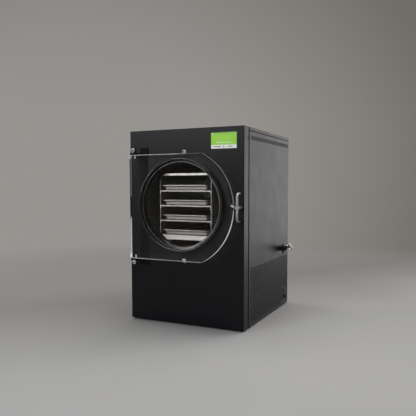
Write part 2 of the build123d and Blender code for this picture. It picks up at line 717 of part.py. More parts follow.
def evaporator_coil():
    """A copper tube laid round the chamber in open rings, joined at alternate ends."""
    section = Face(Wire.make_circle(COIL_TUBE, Plane((COIL_RADIUS, 0, 0), z_dir=(0, 1, 0))))
    arc = revolve(section, Axis.Z, 360 - COIL_GAP_LEFT - COIL_GAP_RIGHT)
    laid = Rot(-90, 0, 0) * arc
    start = COIL_GAP_LEFT + 90
    coil = None
    for turn in range(COIL_TURNS):
        ring = Pos(CHAMBER_X, coil_y(turn), CHAMBER_Z) * Rot(0, start, 0) * laid
        coil = ring if coil is None else coil + ring
        if turn:
            angle = -COIL_GAP_LEFT if turn % 2 else COIL_GAP_RIGHT
            x, y, z = ring_point(angle, coil_y(turn))
            coil += bar_y(x, (y - COIL_PITCH, y), z, COIL_TUBE)
            coil += Pos(x, y, z) * Sphere(COIL_TUBE)
            coil += Pos(x, y - COIL_PITCH, z) * Sphere(COIL_TUBE)
    return coil


def insulation_jacket():
    """Foam round the coil and over the chamber's back."""
    y = (FRONT + JACKET_FRONT, FRONT + CHAMBER_BACK + BACK_PLATE + JACKET_BACK_THICKNESS)
    jacket = bar_y(CHAMBER_X, y, CHAMBER_Z, JACKET_OUTER)
    inner = (y[0], FRONT + CHAMBER_BACK + BACK_PLATE + SLIP)
    jacket -= bar_y(CHAMBER_X, inner, CHAMBER_Z, JACKET_INNER)
    for x, stub_y, radius, low in stubs():
        jacket -= bar_z(x, stub_y, (low - STUB_WALL, CHAMBER_Z), radius + STUB_WALL + SLIP)
    for x, y_pipe, _ in (suction_start(), liquid_end()):
        low = CHAMBER_Z - JACKET_OUTER - STUB_WALL
        jacket -= bar_z(x, y_pipe, (low, CHAMBER_Z), PIPE + SLIP)
    return jacket


def chamber_cradle():
    """A folded portal that stands on the floor sheet and holds the chamber's rear."""
    y = (CRADLE_Y, CRADLE_Y + CRADLE_SHEET)
    seat = JACKET_OUTER + RUNNING
    top = CHAMBER_Z - sqrt(seat ** 2 - CRADLE_HALF ** 2)
    x = span(CHAMBER_X, 2 * CRADLE_HALF)
    plate = block(x, y, (FLOOR_TOP, top))
    plate -= bar_y(CHAMBER_X, y, CHAMBER_Z, seat)
    window = (x[0] + CRADLE_LEG, x[1] - CRADLE_LEG)
    plate -= block(window, y, (FLOOR_TOP, CHAMBER_Z - seat - CRADLE_BEAM))
    foot_y = (CRADLE_Y + CRADLE_SHEET, CRADLE_Y + CRADLE_SHEET + CRADLE_FOOT)
    for low in (x[0], x[1] - CRADLE_LEG):
        plate += block((low, low + CRADLE_LEG), foot_y, (FLOOR_TOP, FLOOR_TOP + CRADLE_SHEET))
    return plate


# ---------------------------------------------------------------- door and hinge
def door_outline():
    """The door's solid before its edges are worked: a disc squared off at the left."""
    y = (DOOR_FRONT, DOOR_BACK)
    disc = bar_y(CHAMBER_X, y, DOOR_Z, DOOR_RADIUS)
    left = -HALF_WIDTH + DOOR_LEFT
    band = block((left, HALF_WIDTH), y, (DOOR_BOTTOM, DOOR_TOP))
    square = block((left, CHAMBER_X), y, (DOOR_BOTTOM, DOOR_TOP))
    return (disc & band) + square


def door_plate():
    """Clear acrylic, with bores for the hinge dowels and a stepped notch for the latch."""
    plate = door_outline()
    rims = plate.faces().sort_by(Axis.Y)
    plate = chamfer(rims[0].edges() + rims[-1].edges(), DOOR_EDGE)
    bore = DOWEL_DEPTH + RUNNING
    for x in dowel_places():
        plate -= bar_z(x, HINGE_Y, (DOOR_TOP - bore, DOOR_TOP), DOWEL_RADIUS + RUNNING)
        plate -= bar_z(x, HINGE_Y, (DOOR_BOTTOM, DOOR_BOTTOM + bore), DOWEL_RADIUS + RUNNING)
    return plate - latch_notch()


def latch_notch():
    """The space cut for the latch's finger: full depth above, behind a ledge below."""
    edge = CHAMBER_X + DOOR_RADIUS
    x = (LATCH_X - FINGER_LENGTH - NOTCH_TIP, edge + DOOR_EDGE)
    low, ledge, top = notch_z()
    ledge_front = DOOR_BACK - FINGER_SETBACK + LEDGE_SLACK
    above = block(x, (DOOR_FRONT, DOOR_BACK), (ledge, top))
    return above + block(x, (DOOR_FRONT, ledge_front), (low, ledge))


def ear_levels():
    """For each ear: its inner face, its outer face and the way out, lower ear first."""
    reach = LEAF_THICKNESS + RUNNING
    lower = (DOOR_BOTTOM - reach, DOOR_BOTTOM - reach - EAR_THICKNESS, -1)
    upper = (DOOR_TOP + reach, DOOR_TOP + reach + EAR_THICKNESS, 1)
    return [lower, upper]


def hinge_bracket():
    """One plate: a tall back strip with a screw tab and an ear at each end."""
    left = -HALF_WIDTH
    strip_y = (FRONT - STRIP_THICKNESS, FRONT)
    lower, upper = ear_levels()
    strip_x = (left + STRIP_LEFT, left + STRIP_LEFT + STRIP_WIDTH)
    bracket = block(strip_x, strip_y, (lower[1] - STRIP_REACH, upper[1] + STRIP_REACH))
    ear_y = (HINGE_Y - EAR_MARGIN, FRONT)
    ear_x = (left + DOOR_LEFT, left + DOOR_LEFT + EAR_LENGTH)
    tab = SCREW_HEAD_RADIUS + TAB_MARGIN
    tab_x = (left + HINGE_SCREW_X - tab, left + HINGE_SCREW_X + tab)
    for inner, outer, way in (lower, upper):
        ear = block(ear_x, ear_y, sorted((inner, outer)))
        corners = ear.edges().filter_by(Axis.Z).sort_by(Axis.Y)[:2]
        far = outer + way * (HINGE_SCREW_RISE + tab)
        bracket += fillet(corners, PIN_HEAD_RADIUS) + block(tab_x, strip_y, sorted((inner, far)))
        bracket -= bar_z(HINGE_X, HINGE_Y, sorted((inner, outer)), PIN_RADIUS + RUNNING)
    bracket -= bar_y(CHAMBER_X, strip_y, CHAMBER_Z, GASKET_OUTER + STRIP_RELIEF)
    for px, pz, where in screw_places():
        if where == "hinge":
            bracket -= bar_y(px, strip_y, pz, SCREW_SHANK + RUNNING)
    return bracket


def hinge_leaves():
    """Two short leaves on the door's top and bottom edges, under the ears."""
    leaves = []
    for edge, way in ((DOOR_BOTTOM, -1), (DOOR_TOP, 1)):
        z = sorted((edge, edge + way * LEAF_THICKNESS))
        x = (HINGE_X - PIN_INSET + DOOR_EDGE, HINGE_X - PIN_INSET + DOOR_EDGE + LEAF_LENGTH)
        leaf = block(x, span(HINGE_Y, LEAF_WIDTH), z)
        leaf = fillet(leaf.edges().filter_by(Axis.Z), DOWEL_RADIUS)
        leaf -= bar_z(HINGE_X, HINGE_Y, z, PIN_RADIUS + RUNNING)
        for place in dowel_places():
            leaf -= bar_z(place, HINGE_Y, z, DOWEL_RADIUS + RUNNING)
        leaves.append(leaf)
    return Compound(children=leaves)


def dowel_places():
    """X places of the two dowels in each leaf."""
    return (HINGE_X - DOWEL_SPREAD, HINGE_X + DOWEL_SPREAD)


def hinge_pins():
    """Two headed pivot pins, one through each ear and the leaf beside it."""
    pins = []
    for inner, outer, way in ear_levels():
        shank = sorted((inner - way * (LEAF_THICKNESS + RUNNING - DOWEL_SINK), outer))
        pin = bar_z(HINGE_X, HINGE_Y, shank, PIN_RADIUS)
        head = sorted((outer, outer + way * PIN_HEAD))
        pins.append(pin + bar_z(HINGE_X, HINGE_Y, head, PIN_HEAD_RADIUS))
    return Compound(children=pins)


def door_dowels():
    """Four bright dowels that fix the leaves to the door."""
    dowels = []
    for x in dowel_places():
        top = (DOOR_TOP - DOWEL_DEPTH, DOOR_TOP + LEAF_THICKNESS - DOWEL_SINK)
        low = (DOOR_BOTTOM - LEAF_THICKNESS + DOWEL_SINK, DOOR_BOTTOM + DOWEL_DEPTH)
        dowels += [bar_z(x, HINGE_Y, top, DOWEL_RADIUS), bar_z(x, HINGE_Y, low, DOWEL_RADIUS)]
    return Compound(children=dowels)


def screw_places():
    """Centres of the four front screws, and what each one holds."""
    places = []
    for _, outer, way in ear_levels():
        places.append((0.0, LATCH_Z + way * SCREW_RISE, "centre"))
        places.append((HINGE_SCREW_X - HALF_WIDTH, outer + way * HINGE_SCREW_RISE, "hinge"))
    return places


def front_screws():
    """Four domed socket screws."""
    dome = turned([(0, 0), (SCREW_HEAD_RADIUS, 0), (SCREW_HEAD_RADIUS, SCREW_DOME),
                   (SCREW_CROWN, SCREW_HEAD), (0, SCREW_HEAD)])
    dome = fillet(dome.edges().group_by(Axis.Z)[-1], SCREW_DOME)
    dome -= Pos(0, 0, SCREW_SOCKET_FLOOR) * extrude(RegularPolygon(SCREW_SOCKET, 6), amount=SCREW_HEAD)
    screws = []
    for x, z, where in screw_places():
        seat = FRONT - (STRIP_THICKNESS if where == "hinge" else 0)
        head = Pos(x, seat, z) * Rot(90, 0, 0) * dome
        screws.append(head + bar_y(x, (seat, seat + SCREW_GRIP), z, SCREW_SHANK))
    return Compound(children=screws)


# ---------------------------------------------------------------- latch
def latch_handle():
    """A bent round bar on a hub, whose shaft runs through the front panel."""
    bar = FRONT - HANDLE_REACH
    tip = FRONT - HANDLE_TIP
    path = [
        (LATCH_X, tip, LATCH_Z + HANDLE_HALF),
        (LATCH_X, bar, LATCH_Z + HANDLE_HALF),
        (LATCH_X, bar, LATCH_Z - HANDLE_HALF),
        (LATCH_X, tip, LATCH_Z - HANDLE_HALF),
    ]
    handle = pipe(path, HANDLE_BEND, HANDLE_RADIUS)
    seat = finger_y()[0]
    hub_back = FRONT - BEARING_FLANGE - RUNNING
    handle += bar_y(LATCH_X, (bar, seat), LATCH_Z, HUB_RADIUS)
    handle += bar_y(LATCH_X, (seat, hub_back), LATCH_Z, HUB_NECK)
    return handle + bar_y(LATCH_X, (hub_back, FRONT + SHAFT_END), LATCH_Z, SHAFT_RADIUS)


def finger_y():
    """The finger's thickness along Y, just in front of the notch's ledge."""
    back = DOOR_BACK - FINGER_SETBACK
    return (back - FINGER_THICKNESS, back)


def latch_finger():
    """A steel finger keyed to the hub; released, it stands clear of the ledge."""
    y = finger_y()
    half = FINGER_WIDTH / 2
    tongue = Rot(0, FINGER_LIFT, 0) * block((-FINGER_LENGTH, 0), y, (-half, half))
    finger = Pos(LATCH_X, 0, LATCH_Z) * tongue
    finger += bar_y(LATCH_X, y, LATCH_Z, FINGER_RING)
    return finger - bar_y(LATCH_X, y, LATCH_Z, HUB_NECK + RUNNING)


def notch_z():
    """The notch's lower end, the ledge's height and the notch's upper end."""
    lift = radians(FINGER_LIFT)
    half = FINGER_WIDTH / 2
    reach = LATCH_X - (CHAMBER_X + DOOR_RADIUS)
    ledge = LATCH_Z + reach * sin(lift) / cos(lift) - half / cos(lift) - LEDGE_PLAY
    top = LATCH_Z + FINGER_LENGTH * sin(lift) + half + NOTCH_ABOVE
    return (LATCH_Z - half - NOTCH_BELOW, ledge, top)


def latch_bearing():
    """The flanged bearing that the latch shaft turns in."""
    inner = SHAFT_RADIUS + RUNNING
    points = [(inner, -BEARING_FLANGE), (BEARING_FLANGE_RADIUS, -BEARING_FLANGE)]
    points += [(BEARING_FLANGE_RADIUS, 0), (BEARING_RADIUS, 0)]
    points += [(BEARING_RADIUS, BEARING_LENGTH), (inner, BEARING_LENGTH)]
    return Pos(0, FRONT, 0) * about_y(turned(points), LATCH_X, LATCH_Z)


# ---------------------------------------------------------------- display
def display_bezel():
    """A black frame that fills the panel's window and grips it from behind."""
    y = (FRONT - BEZEL_PROUD, FRONT + BEZEL_DEPTH)
    wide = SCREEN_WIDTH + 2 * BEZEL_RIM
    high = SCREEN_HEIGHT + 2 * BEZEL_RIM
    frame = block(span(SCREEN_X, wide), y, span(SCREEN_Z, high))
    grip_y = (FRONT + SHEET, FRONT + SHEET + BEZEL_GRIP)
    grip = 2 * BEZEL_FLANGE
    frame += block(span(SCREEN_X, wide + grip), grip_y, span(SCREEN_Z, high + grip))
    return frame - block(span(SCREEN_X, SCREEN_WIDTH), y, span(SCREEN_Z, SCREEN_HEIGHT))


def display_screen():
    """The touch screen, a thin slab held in the bezel."""
    front = FRONT - BEZEL_PROUD + SCREEN_RECESS
    y = (front, front + SCREEN_THICKNESS)
    slack = 2 * RUNNING
    return block(span(SCREEN_X, SCREEN_WIDTH - slack), y, span(SCREEN_Z, SCREEN_HEIGHT - slack))


def control_board():
    """The circuit board behind the screen, with three relays and a processor."""
    low = FRONT + BEZEL_DEPTH
    face = low + BOARD_THICKNESS
    rim = 2 * BEZEL_RIM
    board = block(span(SCREEN_X, SCREEN_WIDTH + rim), (low, face), span(SCREEN_Z, SCREEN_HEIGHT + rim))
    width, depth, height = RELAY_SIZE
    for step in (-1, 0, 1):
        place = SCREEN_X + step * RELAY_STEP
        board += block(span(place, width), (face, face + depth), span(SCREEN_Z + BOARD_ROW, height))
    width, depth, height = PROCESSOR_SIZE
    processor_z = span(SCREEN_Z - BOARD_ROW, height)
    return board + block(span(SCREEN_X, width), (face, face + depth), processor_z)


# ---------------------------------------------------------------- rack and trays
def shelf_top(level):
    """Upper face of a shelf; level 0 is the bottom pan."""
    return RACK_Z + (level - 2) * SHELF_PITCH


def rack_side(side):
    """A thin side plate whose ends turn inwards to the top cap and the bottom pan."""
    low = shelf_top(0)
    high = shelf_top(TRAY_COUNT)
    inner = RACK_HALF_WIDTH - SIDE_SHEET
    turn = (low + SIDE_TURN_LOW, high - SIDE_TURN_HIGH)
    outside = [(PAN_HALF_TOP, low), (RACK_HALF_WIDTH, turn[0])]
    outside += [(RACK_HALF_WIDTH, turn[1]), (CAP_HALF_BOTTOM, high)]
    edge = 2 * SIDE_SHEET
    inside = [(CAP_HALF_BOTTOM - edge, high), (inner, turn[1] - SIDE_SHEET)]
    inside += [(inner, turn[0]), (PAN_HALF_TOP - edge, low)]
    return prism_y([(CHAMBER_X + side * px, pz) for px, pz in outside + inside], RACK_Y)


def rack_shelf(level):
    """An aluminium shelf with its side, front and rear edges folded down."""
    top = shelf_top(level)
    half = RACK_HALF_WIDTH - SIDE_SHEET
    x = span(CHAMBER_X, 2 * half)
    outer = block(x, RACK_Y, (top - SHELF_FLANGE, top))
    outer = fillet(outer.edges().filter_by(Axis.Y).sort_by(Axis.Z)[-2:], 2 * SHELF_SHEET)
    inside = (x[0] + SHELF_SHEET, x[1] - SHELF_SHEET)
    y = (RACK_Y[0] + SHELF_SHEET, RACK_Y[1] - SHELF_SHEET)
    outer -= block(inside, y, (top - SHELF_FLANGE, top - SHELF_SHEET))
    outer -= block(inside, RACK_Y, (top - SHELF_FLANGE, top - SHELF_LIP))
    return outer


def rack_top_cap():
    """The top shelf: an inverted pan with slanted ends."""
    low = shelf_top(TRAY_COUNT)
    return folded_pan(CAP_HALF_BOTTOM, CAP_HALF_TOP, low, low + CAP_HEIGHT)


def rack_bottom_pan():
    """The bottom shelf: a flat face over slanted ends that lean inwards below it."""
    high = shelf_top(0)
    return folded_pan(PAN_HALF_BOTTOM, PAN_HALF_TOP, high - PAN_HEIGHT, high)


def folded_pan(half_low, half_high, low, high):
    """A shelf with slanted ends, hollowed from its open lower face."""
    points = [(-half_low, low), (half_low, low), (half_high, high), (-half_high, high)]
    solid = prism_y([(CHAMBER_X + px, pz) for px, pz in points], RACK_Y)
    lean = (half_high - half_low) / (high - low)
    reach_high = half_high - SHELF_SHEET - SHELF_SHEET * lean
    reach_low = half_low - SHELF_SHEET
    inner = [(-reach_low, low), (reach_low, low), (reach_high, high - SHELF_SHEET)]
    inner.append((-reach_high, high - SHELF_SHEET))
    y = (RACK_Y[0] + SHELF_SHEET, RACK_Y[1] - SHELF_SHEET)
    return solid - prism_y([(CHAMBER_X + px, pz) for px, pz in inner], y)


def tray(level):
    """A pressed steel tray with leaning walls and a rolled rim."""
    floor = shelf_top(level) + TRAY_PLAY
    top = floor + TRAY_DEPTH
    middle = RACK_Y[0] - TRAY_PROUD + TRAY_LENGTH / 2
    wide = TRAY_HALF_RIM - TRAY_RIM
    long = TRAY_LENGTH / 2 - TRAY_RIM
    body = tray_loft(wide, long, floor, top)
    rim = block(span(0, 2 * TRAY_HALF_RIM), span(0, TRAY_LENGTH), (top - TRAY_RIM_HEIGHT, top))
    rim = fillet(rim.edges().filter_by(Axis.Z), TRAY_CORNER + TRAY_RIM)
    rim = fillet(rim.edges().filter_by(Axis.Z, reverse=True), TRAY_SHEET)
    hollow = tray_loft(wide - TRAY_SHEET, long - TRAY_SHEET, floor + TRAY_SHEET, top)
    return Pos(CHAMBER_X, middle, 0) * (body + rim - hollow)


def tray_loft(wide, long, z_low, z_high):
    """A block with rounded corners whose walls lean out to its top."""
    foot = RectangleRounded(2 * (wide - TRAY_DRAFT), 2 * (long - TRAY_DRAFT), TRAY_CORNER)
    mouth = RectangleRounded(2 * wide, 2 * long, TRAY_CORNER)
    return loft([Plane.XY.offset(z_low) * foot, Plane.XY.offset(z_high) * mouth])


def rack_runners():
    """Two plastic runners that seat the rack on the chamber's curved floor."""
    top = shelf_top(0) - PAN_HEIGHT
    bore = bar_y(CHAMBER_X, RACK_Y, CHAMBER_Z, CHAMBER_RADIUS - TRAY_PLAY)
    runners = []
    for side in (-1, 1):
        x = span(CHAMBER_X + side * RUNNER_X, RUNNER_WIDTH)
        runners.append(block(x, RACK_Y, (CHAMBER_Z - CHAMBER_RADIUS, top)) & bore)
    return Compound(children=runners)


def heater_mats():
    """Four silicone heaters, one bonded under each shelf above a tray."""
    half = RACK_HALF_WIDTH - SIDE_SHEET - MAT_MARGIN
    y = (RACK_Y[0] + MAT_MARGIN, RACK_Y[1] - MAT_MARGIN)
    mats = []
    for level in range(1, TRAY_COUNT + 1):
        high = shelf_top(level) + (CAP_HEIGHT if level == TRAY_COUNT else 0) - SHELF_SHEET
        mat = block(span(CHAMBER_X, 2 * half), y, (high - MAT_THICKNESS, high))
        mats.append(fillet(mat.edges().filter_by(Axis.Z), MAT_CORNER))
    return Compound(children=mats)


# ---------------------------------------------------------------- refrigeration deck
def compressor():
    """A welded pot on a foot plate, with its terminal box."""
    low = FLOOR_TOP + GROMMET_HEIGHT
    base = low + POT_PLATE
    top = pot_top()
    belt = base + POT_WELD
    weld = POT_RADIUS + POT_WELD_PROUD
    points = [(0, base), (POT_RADIUS - POT_FOOT, base), (POT_RADIUS, base + POT_FOOT)]
    points += [(POT_RADIUS, belt), (weld, belt), (weld, belt + POT_WELD_WIDTH)]
    points += [(POT_RADIUS, belt + POT_WELD_WIDTH), (POT_RADIUS, top - POT_SHOULDER)]
    points += [(POT_CROWN, top), (0, top)]
    pot = Pos(POT_X, POT_Y, 0) * turned(points)
    half = POT_PLATE_HALF
    plate = block((POT_X - half, POT_X + half), (POT_Y - half, POT_Y + half), (low, base))
    pot += fillet(plate.edges().filter_by(Axis.Z), GROMMET_RADIUS)
    box_x = (POT_X, POT_X + POT_RADIUS + TERMINAL_PROUD)
    box_z = (base + TERMINAL_RISE, base + TERMINAL_RISE + TERMINAL_HEIGHT)
    pot += block(box_x, span(POT_Y, TERMINAL_WIDTH), box_z)
    for x, y in grommet_places():
        pot -= bar_z(x, y, (low, base), GROMMET_NECK + RUNNING)
    return pot


def grommet_places():
    """The four corners of the compressor's foot plate."""
    reach = POT_PLATE_HALF - GROMMET_INSET
    return [(POT_X + i * reach, POT_Y + j * reach) for i in (-1, 1) for j in (-1, 1)]


def compressor_grommets():
    """Rubber mounts between the floor sheet and the compressor's plate."""
    grommets = []
    seat = FLOOR_TOP + GROMMET_HEIGHT
    for x, y in grommet_places():
        mount = bar_z(x, y, (FLOOR_TOP, seat), GROMMET_RADIUS)
        grommets.append(mount + bar_z(x, y, (seat, seat + POT_PLATE + GROMMET_PROUD), GROMMET_NECK))
    return Compound(children=grommets)


def condenser_coil():
    """A finned block with a web of tubes through its middle."""
    x = span(FIN_BLOCK_X, FIN_BLOCK_WIDTH)
    y = span(FIN_BLOCK_Y, FIN_BLOCK_DEPTH)
    z = (FLOOR_TOP, FLOOR_TOP + FIN_BLOCK_HEIGHT)
    coil = block(x, span(FIN_BLOCK_Y, FIN_WEB), z)
    count = int(FIN_BLOCK_WIDTH / FIN_PITCH)
    places = [x[0] + FIN_PITCH * i for i in range(count)] + [x[1] - FIN_SHEET]
    fins = [block((low, low + FIN_SHEET), y, z) for low in places]
    return coil + fins


def fan_shroud():
    """A sheet that closes the fin block round the fan, with the motor's mount."""
    front = FIN_BLOCK_Y + FIN_BLOCK_DEPTH / 2
    y = (front, front + SHEET)
    plate = block(span(FIN_BLOCK_X, FIN_BLOCK_WIDTH), y, (FLOOR_TOP, FLOOR_TOP + FIN_BLOCK_HEIGHT))
    depth = (front, front + SHROUD_DEPTH)
    plate += bar_y(FIN_BLOCK_X, depth, FAN_Z, SHROUD_RING + SHEET)
    plate -= bar_y(FIN_BLOCK_X, depth, FAN_Z, SHROUD_RING)
    strut_y = (depth[1] - SHEET, depth[1] + SHEET)
    reach = SHROUD_RING + SHEET
    cross = block(span(FIN_BLOCK_X, 2 * reach), strut_y, span(FAN_Z, STRUT_WIDTH))
    cross += block(span(FIN_BLOCK_X, STRUT_WIDTH), strut_y, span(FAN_Z, 2 * reach))
    cross += bar_y(FIN_BLOCK_X, strut_y, FAN_Z, MOTOR_RADIUS + STRUT_RING)
    cross &= bar_y(FIN_BLOCK_X, strut_y, FAN_Z, reach)
    return plate + cross - bar_y(FIN_BLOCK_X, strut_y, FAN_Z, HUB_HOLE)


def motor_face():
    """The Y place of the fan motor's front face, on the shroud's struts."""
    return FIN_BLOCK_Y + FIN_BLOCK_DEPTH / 2 + SHROUD_DEPTH + SHEET


def fan_motor():
    """A small round motor with a bore for the fan's shaft."""
    y = (motor_face(), motor_face() + MOTOR_LENGTH)
    body = bar_y(FIN_BLOCK_X, y, FAN_Z, MOTOR_RADIUS)
    body = fillet(body.edges().sort_by(Axis.Y)[-1], MOTOR_ROUND)
    return body - bar_y(FIN_BLOCK_X, (y[0], y[1] - MOTOR_END), FAN_Z, MOTOR_SHAFT + RUNNING)


def fan_blade():
    """Five pitched blades on a hub, with the shaft that enters the motor."""
    y = span(FAN_Y, BLADE_DEPTH)
    fan = bar_y(FIN_BLOCK_X, y, FAN_Z, BLADE_HUB)
    inner = BLADE_HUB - BLADE_ROOT
    length = BLADE_RADIUS - inner
    keep = bar_y(FIN_BLOCK_X, y, FAN_Z, BLADE_RADIUS)
    for i in range(BLADE_COUNT):
        sheet = Pos(inner + length / 2, 0, 0) * Box(length, BLADE_SHEET, BLADE_CHORD)
        blade = Rot(BLADE_TWIST, 0, 0) * sheet
        blade = Pos(FIN_BLOCK_X, FAN_Y, FAN_Z) * Rot(0, 360 * i / BLADE_COUNT, 0) * blade
        fan += blade & keep
    shaft = (FAN_Y, motor_face() + MOTOR_LENGTH - MOTOR_END - MOTOR_RUN_OUT)
    return fan + bar_y(FIN_BLOCK_X, shaft, FAN_Z, MOTOR_SHAFT)


def drier_z():
    """The filter drier's lower and upper ends."""
    middle = FLOOR_TOP + FIN_BLOCK_HEIGHT / 2
    return span(middle, DRIER_LENGTH)


def filter_drier():
    """A copper bulb in the liquid line."""
    low, high = drier_z()
    taper = DRIER_RADIUS
    points = [(0, low), (DRIER_NECK, low), (DRIER_RADIUS, low + taper), (DRIER_RADIUS, high - taper)]
    points += [(DRIER_NECK, high), (0, high)]
    return Pos(DRIER_X, FIN_BLOCK_Y, 0) * turned(points)


def suction_start():
    """The evaporator's left end, where the suction tube leaves it."""
    return ring_point(-COIL_GAP_LEFT, coil_y(0))


def liquid_end():
    """The evaporator's last end, which the liquid tube feeds."""
    angle = -COIL_GAP_LEFT if COIL_TURNS % 2 == 0 else COIL_GAP_RIGHT
    return ring_point(angle, coil_y(COIL_TURNS - 1))


def pot_top():
    """The top of the compressor's pot."""
    return FLOOR_TOP + GROMMET_HEIGHT + POT_PLATE + POT_HEIGHT


def suction_tube():
    """From the evaporator down to the compressor's crown."""
    x, y, z = suction_start()
    level = pot_top() + 2 * PIPE_RISE
    end_x = POT_X - SUCTION_SET
    points = [(x, y, z - COIL_TUBE), (x, y, level), (end_x, POT_Y, level), (end_x, POT_Y, pot_top())]
    return pipe(points, PIPE_BEND, PIPE)


def discharge_tube():
    """From the compressor's crown over to the fin block's top."""
    x = POT_X + DISCHARGE_SET
    level = pot_top() + PIPE_RISE
    end = (x, FIN_BLOCK_Y, FLOOR_TOP + FIN_BLOCK_HEIGHT)
    points = [(x, POT_Y, pot_top()), (x, POT_Y, level), (x, FIN_BLOCK_Y, level), end]
    return pipe(points, PIPE_BEND, PIPE)


def liquid_tube():
    """From the fin block through the drier to the evaporator, in two lengths."""
    low, high = drier_z()
    edge = FIN_BLOCK_X + FIN_BLOCK_WIDTH / 2
    drop = low - 2 * PIPE_RISE
    feed = pipe([(edge, FIN_BLOCK_Y, drop), (DRIER_X, FIN_BLOCK_Y, drop), (DRIER_X, FIN_BLOCK_Y, low)],
                PIPE_BEND, PIPE)
    x, y, z = liquid_end()
    level = high + 2 * PIPE_RISE
    rise = [(DRIER_X, FIN_BLOCK_Y, high), (DRIER_X, FIN_BLOCK_Y, level)]
    rise += [(x, y, level), (x, y, z - COIL_TUBE)]
    return Compound(children=[feed, pipe(rise, PIPE_BEND, PIPE)])


def power_supply():
    """A ventilated metal box for the relays and the low-voltage supply."""
    width, depth, height = SUPPLY_SIZE
    x = span(SUPPLY_X, width)
    y = span(SUPPLY_Y, depth)
    box = block(x, y, (FLOOR_TOP, FLOOR_TOP + height))
    box = fillet(box.edges().filter_by(Axis.Z), BEND)
    slot_x = (x[0] + SUPPLY_SLOT_MARGIN, x[1] - SUPPLY_SLOT_MARGIN)
    for i in range(SUPPLY_SLOTS):
        low = FLOOR_TOP + SUPPLY_SLOT_LOW + i * SUPPLY_SLOT_PITCH
        box -= block(slot_x, (y[0], y[0] + SUPPLY_SLOT), (low, low + SUPPLY_SLOT))
    return box


# ---------------------------------------------------------------- services at the sides
def vacuum_bulkhead():
    """A hexagon fitting through the right side, with a spigot for the inner pipe."""
    x = (HALF_WIDTH, HALF_WIDTH + NUT_LENGTH)
    inner = HALF_WIDTH - SHEET - NUT_LENGTH
    outer_nut = extrude(RegularPolygon(NUT_RADIUS, 6), amount=NUT_LENGTH)
    fitting = Pos(x[0], 0, 0) * about_x(outer_nut, PORT_Y, PORT_Z)
    fitting += Pos(inner, 0, 0) * about_x(outer_nut, PORT_Y, PORT_Z)
    fitting += bar_x((inner - NUT_LENGTH, x[1]), PORT_Y, PORT_Z, SPIGOT_RADIUS)
    return fitting - bar_x((inner - NUT_LENGTH, x[1]), PORT_Y, PORT_Z, PORT_BORE)


def valve_x():
    """Ends of the valve's body along X."""
    low = HALF_WIDTH + NUT_LENGTH
    return (low, low + BODY_LENGTH)


def valve_body():
    """A black quarter-turn valve with its stem boss towards the front."""
    low, high = valve_x()
    middle = (low + high) / 2
    body = bar_x((low, high), PORT_Y, PORT_Z, BODY_RADIUS)
    body += outlet_place() * bar_z(0, 0, (-NECK_ROOT, NECK_LENGTH), NECK_RADIUS)
    boss = (PORT_Y - STEM_REACH + LEVER_THICKNESS / 2 + RUNNING, PORT_Y)
    body += bar_y(middle, boss, PORT_Z, STEM_BOSS)
    bore = (PORT_Y - STEM_REACH, PORT_Y - NECK_RADIUS)
    return body - bar_y(middle, bore, PORT_Z, STEM_RADIUS + RUNNING)


def outlet_place():
    """The rising axis of the valve's outlet, from the end of its body."""
    return Pos(valve_x()[1], PORT_Y, PORT_Z) * Rot(0, 90 - OUTLET_TILT, 0)


def outlet_ferrule():
    """A bright ring pressed onto the valve's outlet."""
    z = (FERRULE_SET, FERRULE_SET + FERRULE_LENGTH)
    ring = bar_z(0, 0, z, FERRULE_RADIUS) - bar_z(0, 0, z, NECK_RADIUS)
    return outlet_place() * ring


def valve_lever():
    """The valve's two-winged lever, with the stem that turns in the boss."""
    low, high = valve_x()
    middle = (low + high) / 2
    face = PORT_Y - STEM_REACH
    y = span(face, LEVER_THICKNESS)
    half = LEVER_WIDTH / 2
    reach = LEVER_HALF - half
    lever = block(span(middle, LEVER_WIDTH), y, span(PORT_Z, 2 * reach))
    for side in (-1, 1):
        lever += bar_y(middle, y, PORT_Z + side * reach, half)
    lever += bar_y(middle, y, PORT_Z, STEM_BOSS)
    return lever + bar_y(middle, (face, PORT_Y - NECK_RADIUS - RUNNING), PORT_Z, STEM_RADIUS)


def port_cap():
    """A bright cap on the valve's outlet."""
    cap = bar_z(0, 0, (NECK_LENGTH, NECK_LENGTH + CAP_LENGTH), CAP_RADIUS)
    return outlet_place() * chamfer(cap.edges().filter_by(GeomType.CIRCLE), CAP_EDGE)


def vacuum_pipe():
    """From the bulkhead's inner end up to the chamber's vacuum stub."""
    start = HALF_WIDTH - SHEET - 2 * NUT_LENGTH
    x, y, _, low = stubs()[0]
    return pipe([(start, PORT_Y, PORT_Z), (x, y, PORT_Z), (x, y, low)], PIPE_BEND, VACUUM_PIPE)


def drain_line():
    """From the chamber's drain stub out through the left side, ending in a plugged spigot."""
    x, y, _, low = stubs()[1]
    end = -HALF_WIDTH - DRAIN_SPIGOT
    line = pipe([(x, y, low), (x, y, DRAIN_Z), (end, y, DRAIN_Z)], PIPE_BEND, DRAIN_PIPE)
    inside = -HALF_WIDTH + SHEET
    line += bar_x((inside, inside + DRAIN_COLLAR_LENGTH), y, DRAIN_Z, DRAIN_COLLAR)
    return line + bar_x((end - SHEET, end - SHEET + DRAIN_PLUG_LENGTH), y, DRAIN_Z, DRAIN_PLUG)


